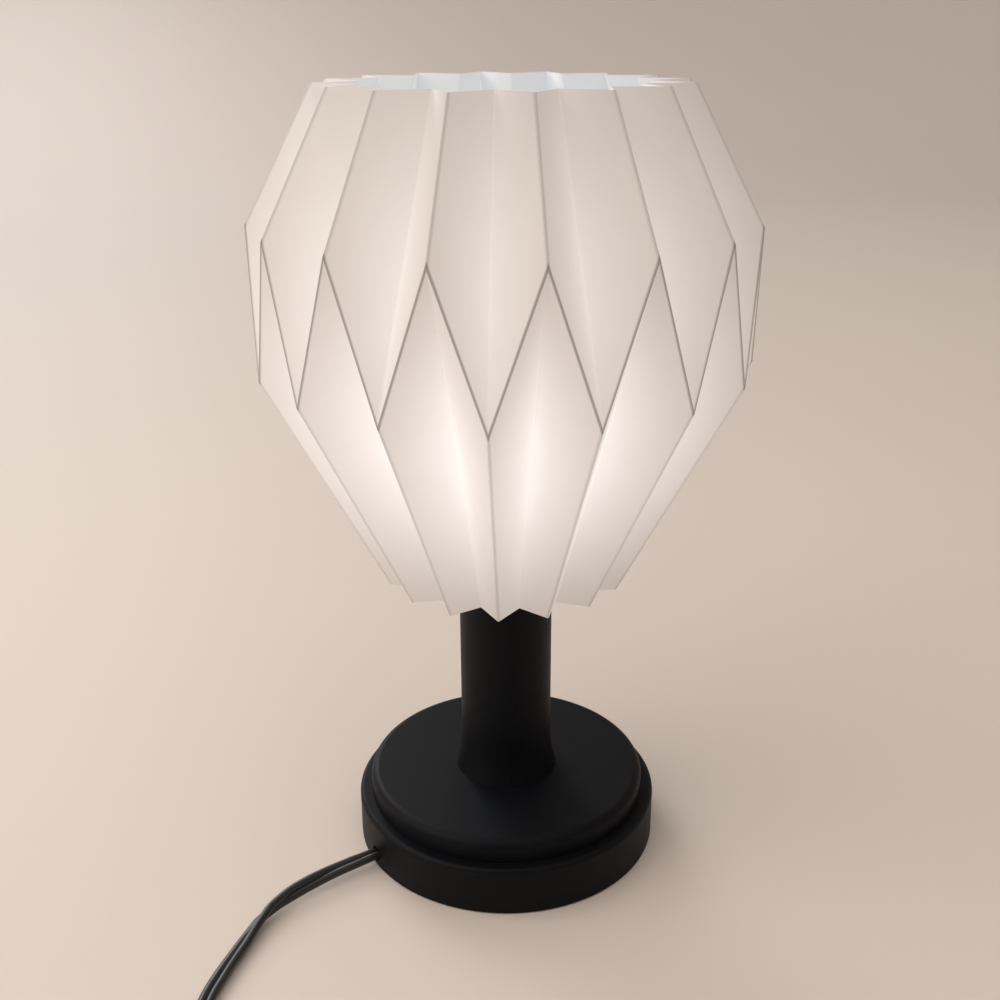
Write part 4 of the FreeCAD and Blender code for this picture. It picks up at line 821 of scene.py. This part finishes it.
@dataclass
class FlatCord:
    """The flat twin cord: two round leads side by side in one jacket."""

    wide: float = 0.0056
    thick: float = 0.0030
    hole: Triple = (-0.049459, -0.029718, 0.0050)
    to_switch: tuple = (
        (-0.0620, -0.0379, 0.0050), (-0.0760, -0.0486, 0.0044), (-0.0864, -0.0600, 0.0032),
        (-0.0908, -0.0740, 0.0026), (-0.0954, -0.0880, 0.0023), (-0.0991, -0.1035, 0.0023),
        (-0.0978, -0.1185, 0.0024), (-0.0902, -0.1300, 0.0030),
    )
    switch_start: Pair = (-0.0645, -0.1355)
    switch_heading: float = 2.0
    switch_long: float = 0.052
    switch_line: float = 0.0046
    to_coil: tuple = ((0.0010, -0.1314, 0.0030), (0.0135, -0.1269, 0.0026))
    coil: Pair = (0.050, -0.153)
    coil_radius: float = 0.0375
    coil_start: float = 110.0
    coil_sweep: float = 2720.0
    coil_pitch: float = 0.0036
    layer: float = 0.0061
    coil_low: float = 0.0038
    climb: float = 2.0 / 30.0
    points_per_turn: int = 16
    plug: Triple = (0.0020, -0.1830, 0.0076)
    plug_heading: float = 165.0
    lead_out: float = 0.012
    core: float = 0.0011
    bends: tuple = ((0.0, 3.0), (0.012, -10.0), (0.033, -51.0), (0.044, -96.0), (0.053, -138.0), (0.066, -164.0),
                    (0.086, -180.0), (0.245, -180.0), (0.262, -270.0), (1.724, -270.0), (1.757, -180.0))

    def on_coil(self, share: float, swell: float = 1.0) -> Vector:
        """A point of the coil's centreline.

        Args:
            share: how far along the winding it lies, from 0 to 1.
            swell: how much further out it lies than the turns themselves.

        Returns:
            The point in the row frame.
        """
        turns = self.coil_sweep / 360
        turned = share * turns
        radius = self.coil_radius - self.coil_pitch * (turns / 2 - abs(turned - turns / 2))
        step = min(max((turned - turns / 2) / (self.climb * turns) + 0.5, 0.0), 1.0)
        height = self.coil_low + self.layer * step * step * (3 - 2 * step)
        angle = math.radians(self.coil_start) - 2 * math.pi * turned
        reach = swell * radius
        return Vector((self.coil[0] + reach * math.cos(angle), self.coil[1] + reach * math.sin(angle), height))

    def lead(self, share: float, back: bool) -> Vector:
        """The coil's straight way in or out, as a unit vector along the cord."""
        small = 1e-4
        first, second = (share, share + small) if not back else (share - small, share)
        return (self.on_coil(second) - self.on_coil(first)).normalized()

    def route(self) -> list[Vector]:
        """The control points of the whole cord, from the drum to the plug."""
        heading = math.radians(self.switch_heading)
        way = Vector((math.cos(heading), math.sin(heading), 0))
        switch_in = Vector((*self.switch_start, self.switch_line))
        points = [Vector(self.hole)] + [Vector(p) for p in self.to_switch]
        points += [switch_in - way * self.lead_out, switch_in, switch_in + way * self.switch_long]
        points += [switch_in + way * (self.switch_long + 0.007)] + [Vector(p) for p in self.to_coil]
        way_in = self.lead(0.0, False)
        points.append(self.on_coil(0.0) - way_in * 0.0136)
        count = round(self.coil_sweep / 360 * self.points_per_turn)
        swell = 1 / math.cos(math.pi / self.points_per_turn)
        points += [self.on_coil(i / count, swell) for i in range(count + 1)]
        way_out = self.lead(1.0, True)
        turn = math.radians(self.plug_heading)
        ahead = Vector((math.cos(turn), math.sin(turn), 0))
        points += [self.on_coil(1.0) + way_out * 0.0176, Vector(self.plug) - ahead * self.lead_out, Vector(self.plug)]
        return points

    def centreline(self, points: list[Vector]) -> list[Vector]:
        """The smooth line of a spline with these control points.

        Args:
            points: the control points.

        Returns:
            Close points along the line.
        """
        data = bpy.data.curves.new("cord_line", "CURVE")
        data.dimensions = "3D"
        data.resolution_u = 8
        spline = data.splines.new("NURBS")
        spline.points.add(len(points) - 1)
        for target, point in zip(spline.points, points):
            target.co = (*point, 1.0)
        spline.order_u = 3
        spline.use_endpoint_u = True
        holder = bpy.data.objects.new("cord_line", data)
        bpy.context.scene.collection.objects.link(holder)
        bpy.context.view_layer.update()
        line = bpy.data.meshes.new_from_object(holder)
        path = [v.co.copy() for v in line.vertices]
        bpy.data.objects.remove(holder)
        bpy.data.meshes.remove(line)
        kept = [path[0]]
        for point in path[1:]:
            if (point - kept[-1]).length > 1e-5:
                kept.append(point)
        return kept

    def section(self) -> list[Pair]:
        """The outline of the twin jacket across the cord, as offsets along its width and its thickness."""
        lobe = self.thick / 2
        off = self.wide / 2 - lobe
        waist = math.acos(min(1.0, off / lobe)) * 0.8
        outline = []
        steps = 8
        for side in (1, -1):
            first = math.pi - waist if side > 0 else -waist
            for step in range(steps + 1):
                angle = -math.pi + waist + (2 * (math.pi - waist)) * step / steps
                outline.append((side * (off + lobe * math.cos(angle)), side * lobe * math.sin(angle)))
        return outline

    def lean(self, along: float) -> float:
        """How far the cord is turned on edge after some length, in radians."""
        for (start, low), (end, high) in zip(self.bends, self.bends[1:]):
            if along <= end:
                share = min(max((along - start) / (end - start), 0.0), 1.0)
                smooth = share * share * (3 - 2 * share)
                return math.radians(low + (high - low) * smooth)
        return math.radians(self.bends[-1][1])

    def sweep(self, path: list[Vector], outline: list[Pair], lean) -> tuple[list, list]:
        """Sweeps an outline along a path.

        Args:
            path: the centreline.
            outline: offsets along the cord's width and its thickness.
            lean: a function of the length so far that gives the turn about the line.

        Returns:
            The vertices and the faces.
        """
        points: list[Vector] = []
        along = 0.0
        side = Vector((0, 1, 0)).cross(path[1] - path[0]).normalized()
        for index, here in enumerate(path):
            before = path[max(index - 1, 0)]
            after = path[min(index + 1, len(path) - 1)]
            way = (after - before).normalized()
            along += (here - before).length
            level = Vector((0, 0, 1)).cross(way)
            side = level.normalized() if level.length > 0.2 else (side - way * side.dot(way)).normalized()
            upright = way.cross(side)
            turn = lean(along)
            across = side * math.cos(turn) + upright * math.sin(turn)
            over = way.cross(across)
            points += [here + across * u + over * v for u, v in outline]
        return points, swept_faces(len(path), len(outline))

    def build(self, finish: bpy.types.Material, carried: list) -> bpy.types.Object:
        """Args:
            finish: the jacket's material.
            carried: the pieces that lie on the cord; not used.

        Returns:
            The piece.
        """
        path = self.centreline(self.route())
        piece = make_piece("cord", *self.sweep(path, self.section(), self.lean), finish, SWEPT_CREASE)
        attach(piece, "lamp")
        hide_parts("lamp_cord", "switch_cord", "middle_cord", "cord_coil", "plug_cord")
        return piece

    def inside(self, finish: bpy.types.Material) -> bpy.types.Object:
        """The cord's run inside the lamp, from the drum's hole to the socket's two terminal screws.

        Args:
            finish: the jacket's material.

        Returns:
            The piece.
        """
        hole = Vector(self.hole)
        knee = hole - (Vector(self.to_switch[0]) - hole).normalized() * 0.006
        inward = Vector((-knee.x, -knee.y, 0)).normalized()
        axis = Vector((0, 0, knee.z))
        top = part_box("lamp_pipe")[1].z - 0.0006
        rise = Vector((0, 0, 0.008))
        run = [hole, knee, knee + inward * 0.014, axis - inward * 0.008, axis, axis + rise, axis + 4 * rise]
        start = math.radians(self.bends[0][1])
        points, faces = self.sweep(self.centreline(run + [Vector((0, 0, top))]), self.section(), lambda along: -start)
        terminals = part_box("terminal_screws")
        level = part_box("inner_cord")[1].z - self.core
        ring = [(self.core * math.cos(t * math.pi / 6), self.core * math.sin(t * math.pi / 6)) for t in range(12)]
        for side, reach in ((-1, terminals[0].x), (1, terminals[1].x)):
            foot = side * (self.core + 0.00005)
            end = reach - side * 0.0030
            lead = [Vector((foot, 0, top - 0.001)), Vector((foot, 0, level)), Vector((end, 0, level))]
            more, rings = self.sweep(self.centreline(lead), ring, lambda along: 0.0)
            faces += [tuple(number + len(points) for number in face) for face in rings]
            points += more
        piece = make_piece("cord_inside", points, faces, finish, SWEPT_CREASE)
        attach(piece, "lamp")
        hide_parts("inner_cord")
        return piece


# ---------------------------------------------------------------- foam foot and strap

@dataclass
class FoamFoot:
    """The die-cut foam disc under the base, with the soft lower edge that a cut foam sheet has."""

    edge: float = 0.0003

    def build(self, finish: bpy.types.Material) -> bpy.types.Object:
        """Makes the foot.

        Args:
            finish: the foam's material.

        Returns:
            The piece.
        """
        low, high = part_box("base_pad")
        disc = Turning(steps=6).to(0.0, low.z).to(high.x, low.z, self.edge).to(high.x, high.z).to(0.0, high.z)
        piece = make_piece("foam_foot", *disc.mesh(192), finish)
        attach(piece, "lamp")
        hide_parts("base_pad")
        return piece


@dataclass
class CordStrap:
    """The woven strap round the coil: one band that wraps the turns and laps over its own start."""

    thick: float = 0.0007
    bend: float = 0.0013
    selvage: float = 0.0004
    tuck: float = 0.0025

    def build(self, finish: bpy.types.Material) -> bpy.types.Object:
        """Makes the strap.

        Args:
            finish: the strap's material.

        Returns:
            The piece.
        """
        low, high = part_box("cord_tie")
        half = self.thick / 2
        near, far = low.x + half, high.x - 3 * half
        under, over = low.z + half, high.z - half
        band = Turning(steps=6).to(far, under + self.tuck).to(far, over, self.bend).to(near, over, self.bend)
        band.to(near, under, self.bend).to(far + self.thick, under, self.bend).to(far + self.thick, over - self.tuck)
        path = [Vector((x, 0, z)) for x, z in band.outline()]
        left, right = low.y, high.y
        section = [(left + self.selvage, -half), (right - self.selvage, -half), (right, 0.0),
                   (right - self.selvage, half), (left + self.selvage, half), (left, 0.0)]
        points = []
        for index, here in enumerate(path):
            way = (path[min(index + 1, len(path) - 1)] - path[max(index - 1, 0)]).normalized()
            outward = Vector((way.z, 0, -way.x))
            points += [here + Vector((0, y, 0)) + outward * offset for y, offset in section]
        piece = make_piece("cord_strap", points, swept_faces(len(path), len(section)), finish, SWEPT_CREASE)
        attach(piece, "lamp")
        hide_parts("cord_tie")
        return piece


# ---------------------------------------------------------------- stage

@dataclass(frozen=True)
class SoftLight:
    """A soft square light that looks at a point, its side in metres and its power in watts."""

    name: str
    place: Triple
    target: Triple
    size: float
    power: float
    colour: Triple
    mirrored: bool = True

    def hang(self) -> None:
        """Makes the light, which glossy surfaces mirror or not."""
        data = bpy.data.lights.new(self.name, "AREA")
        data.size = self.size
        data.energy = self.power
        data.color = self.colour
        lamp = bpy.data.objects.new(self.name, data)
        bpy.context.scene.collection.objects.link(lamp)
        lamp.location = self.place
        lamp.rotation_euler = (Vector(self.target) - Vector(self.place)).to_track_quat("-Z", "Y").to_euler()
        lamp.visible_glossy = self.mirrored


@dataclass
class Studio:
    """The plain floor, the soft lights and the camera at the photo's angle."""

    eye: Triple = (0.0, -0.41217, 0.30275)
    pitch: float = 0.381263
    yaw: float = -0.004682
    roll: float = -0.005188
    lens: float = 44.148
    room: float = 3.4
    sweep: float = 1.5
    wall: float = 3.2
    paint: Triple = (0.62, 0.54, 0.475)
    sky_colour: Triple = (0.90, 0.90, 0.92)
    sky_power: float = 0.92
    sky_fall: float = -0.50
    sky_tilt: float = -0.45
    lights: tuple = (
        SoftLight("key_left", (-1.1, -0.35, 0.80), (0, 0, 0.08), 1.5, 12.0, (1.0, 0.94, 0.86)),
        SoftLight("overhead", (0.1, -0.3, 1.6), (0, 0, 0.1), 2.0, 10.8, (1.0, 0.96, 0.90), False),
        SoftLight("window_back", (-1.30, 2.20, 1.50), (0, 0, 0.03), 1.4, 30.0, (0.93, 0.96, 1.0)),
    )

    def camera(self) -> None:
        """Sets the camera."""
        ahead_flat = Vector((math.sin(self.yaw), math.cos(self.yaw), 0))
        right = Vector((math.cos(self.yaw), -math.sin(self.yaw), 0))
        up = ahead_flat * math.sin(self.pitch) + Vector((0, 0, math.cos(self.pitch)))
        ahead = ahead_flat * math.cos(self.pitch) - Vector((0, 0, math.sin(self.pitch)))
        rolled_right = right * math.cos(self.roll) + up * math.sin(self.roll)
        rolled_up = up * math.cos(self.roll) - right * math.sin(self.roll)
        matrix = Matrix((rolled_right, rolled_up, -ahead)).transposed().to_4x4()
        matrix.translation = Vector(self.eye)
        data = bpy.data.cameras.new("camera")
        data.sensor_width = 36.0
        data.lens = self.lens
        data.clip_start = 0.01
        data.clip_end = 50.0
        camera = bpy.data.objects.new("camera", data)
        bpy.context.scene.collection.objects.link(camera)
        camera.matrix_world = matrix
        bpy.context.scene.camera = camera

    def floor(self) -> None:
        """Lays the plain pale floor, which curves up all round into a plain backdrop."""
        sheet = NodeSheet("floor_paint")
        cloud = sheet.noise(0.35, 2.0)
        grain = sheet.noise(0.0016, 3.0)
        sheet.surface(Base_Color=sheet.mix(cloud, self.paint, tuple(1.04 * c for c in self.paint)),
                      Roughness=sheet.spread(grain, 0.56, 0.68), Normal=sheet.bump(grain, 0.00003))
        back = self.room + 0.1
        bowl = Turning(steps=24).to(0.0, 0.0).to(self.room, 0.0, self.sweep).to(self.room, self.wall)
        bowl.to(back, self.wall).to(back, -0.05).to(0.0, -0.05)
        floor = make_piece("floor", *bowl.mesh(96), sheet.material)
        floor.location.z = -0.0002

    def sky(self) -> None:
        """Lights the room softly from all round, most from the left and from near the floor."""
        world = bpy.data.worlds.new("studio")
        world.use_nodes = True
        tree = world.node_tree
        backdrop = tree.nodes["Background"]
        backdrop.inputs["Color"].default_value = (*self.sky_colour, 1.0)
        way = tree.nodes.new("ShaderNodeSeparateXYZ")
        tree.links.new(tree.nodes.new("ShaderNodeTexCoord").outputs["Generated"], way.inputs[0])
        level = tree.nodes.new("ShaderNodeMath")
        across = tree.nodes.new("ShaderNodeMath")
        for made, source, slope in ((level, way.outputs["Z"], self.sky_fall),
                                    (across, way.outputs["X"], self.sky_tilt)):
            made.operation = "MULTIPLY_ADD"
            tree.links.new(source, made.inputs[0])
            made.inputs[1].default_value = slope * self.sky_power
        level.inputs[2].default_value = self.sky_power
        tree.links.new(level.outputs[0], across.inputs[2])
        tree.links.new(across.outputs[0], backdrop.inputs["Strength"])
        bpy.context.scene.world = world

    def build(self) -> None:
        """Makes the whole stage."""
        self.camera()
        self.floor()
        self.sky()
        for light in self.lights:
            light.hang()
        bpy.context.scene.view_settings.view_transform = "Standard"


# ---------------------------------------------------------------- assembly

def dress(nodes: dict, finish: bpy.types.Material, names: tuple) -> None:
    """Gives CAD nodes a finish.

    Args:
        nodes: the frame's nodes by name.
        finish: the material.
        names: the nodes that wear it.
    """
    for name in names:
        for place in nodes[name].material_slots:
            place.material = finish


OTHER_FINISHES = (
    (MouldedFinish("black_coat", (0.0020, 0.0026, 0.0040), (0.0038, 0.0044, 0.0060), 0.50, 0.0006, 0.00002, 1.22),
     ("base_drum", "base_disc", "stem")),
    (MouldedFinish("white_enamel", (0.78, 0.77, 0.74), (0.84, 0.83, 0.80), 0.35, 0.0015, 0.00002), ("shade_frame",)),
    (MouldedFinish("black_glass", (0.010, 0.010, 0.014), (0.018, 0.018, 0.024), 0.14, 0.0030, 0.00001),
     ("bulb_insulator",)),
    (MetalFinish("zinc_steel", (0.56, 0.57, 0.58), (0.45, 0.46, 0.47), 0.34, Brushing.STAMPED),
     ("cover_screws", "lamp_pipe", "pipe_nut", "pipe_washer", "clamp_screws", "switch_axle", "switch_screws")),
    (MetalFinish("raw_steel", (0.34, 0.34, 0.35), (0.24, 0.24, 0.24), 0.48, Brushing.ROLLED), ("ballast_ring",)),
    (MetalFinish("solder", (0.50, 0.50, 0.52), (0.38, 0.38, 0.40), 0.42, Brushing.STAMPED), ("bulb_tip",)),
    (GlowFinish("frosted_glass", (1.0, 0.93, 0.84), 2.4, 0.199), ("bulb_glass",)),
    (ClearGlassFinish("clear_glass"), ("bulb_mount",)),
    (LightStickFinish("light_stick", (0.95, 0.70, 0.22)), ("bulb_filaments",)),
)


def corners(box: tuple) -> list:
    """A box's two corners as plain lists."""
    return [list(box[0]), list(box[1])]


def main() -> None:
    """Builds the lamp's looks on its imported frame."""
    logging.basicConfig(level=logging.INFO, format="%(message)s")
    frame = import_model()
    nodes = frame["nodes"]
    Studio().build()

    jacket = JacketFinish("cord_jacket", (0.0055, 0.0055, 0.0060), (0.018, 0.017, 0.016)).make()
    strap = CordStrap().build(StrapFinish("tie_strap", (0.008, 0.008, 0.008), (0.035, 0.035, 0.036)).make())
    foot = FoamFoot().build(FoamFinish("foam_pad", (0.012, 0.012, 0.012)).make())
    LOG.info("made %s and %s", strap.name, foot.name)
    carried = [nodes[n] for n in ("switch_base", "switch_cover", "switch_wheel", "switch_axle", "switch_screws",
                                  "switch_contacts", "plug_body", "plug_blade_narrow", "plug_blade_wide")]
    carried.append(strap)
    cord = FlatCord()
    cord.build(jacket, carried)
    LOG.info("made %s", cord.inside(jacket).name)

    plastic = MouldedFinish("black_plastic", (0.012, 0.012, 0.013), (0.020, 0.020, 0.021), 0.40, 0.0004,
                            0.00003).make()
    brass = MetalFinish("brass", (0.80, 0.60, 0.28), (0.62, 0.45, 0.20), 0.30, Brushing.DRAWN).make()
    alloy = MetalFinish("bulb_alloy", (0.78, 0.78, 0.79), (0.62, 0.62, 0.63), 0.28, Brushing.ROLLED).make()
    dress(nodes, plastic, ("bottom_cover", "cord_clamp", "socket_cap", "shade_nut", "switch_base", "switch_cover",
                           "switch_wheel"))
    dress(nodes, brass, ("centre_contact", "terminal_screws", "switch_contacts", "plug_blade_narrow",
                         "plug_blade_wide"))
    dress(nodes, jacket, ("plug_body",))
    for finish, names in OTHER_FINISHES:
        dress(nodes, finish.make(), names)
    LOG.info("dressed %d CAD nodes", len(nodes))

    shade = PleatedShade()
    sheet = PleatFinish("pleated_sheet", shade.pleats, shade.azimuth, shade.low + shade.upper_corner,
                        shade.low + shade.lower_corner).make()
    LOG.info("made %s", shade.build(sheet).name)

    middle = SocketAndBulb()
    for piece in (middle.barrel_piece(plastic), middle.shell_piece(brass), middle.bulb_cap_piece(alloy)):
        LOG.info("made %s", piece.name)


if __name__ == "__main__":
    main()
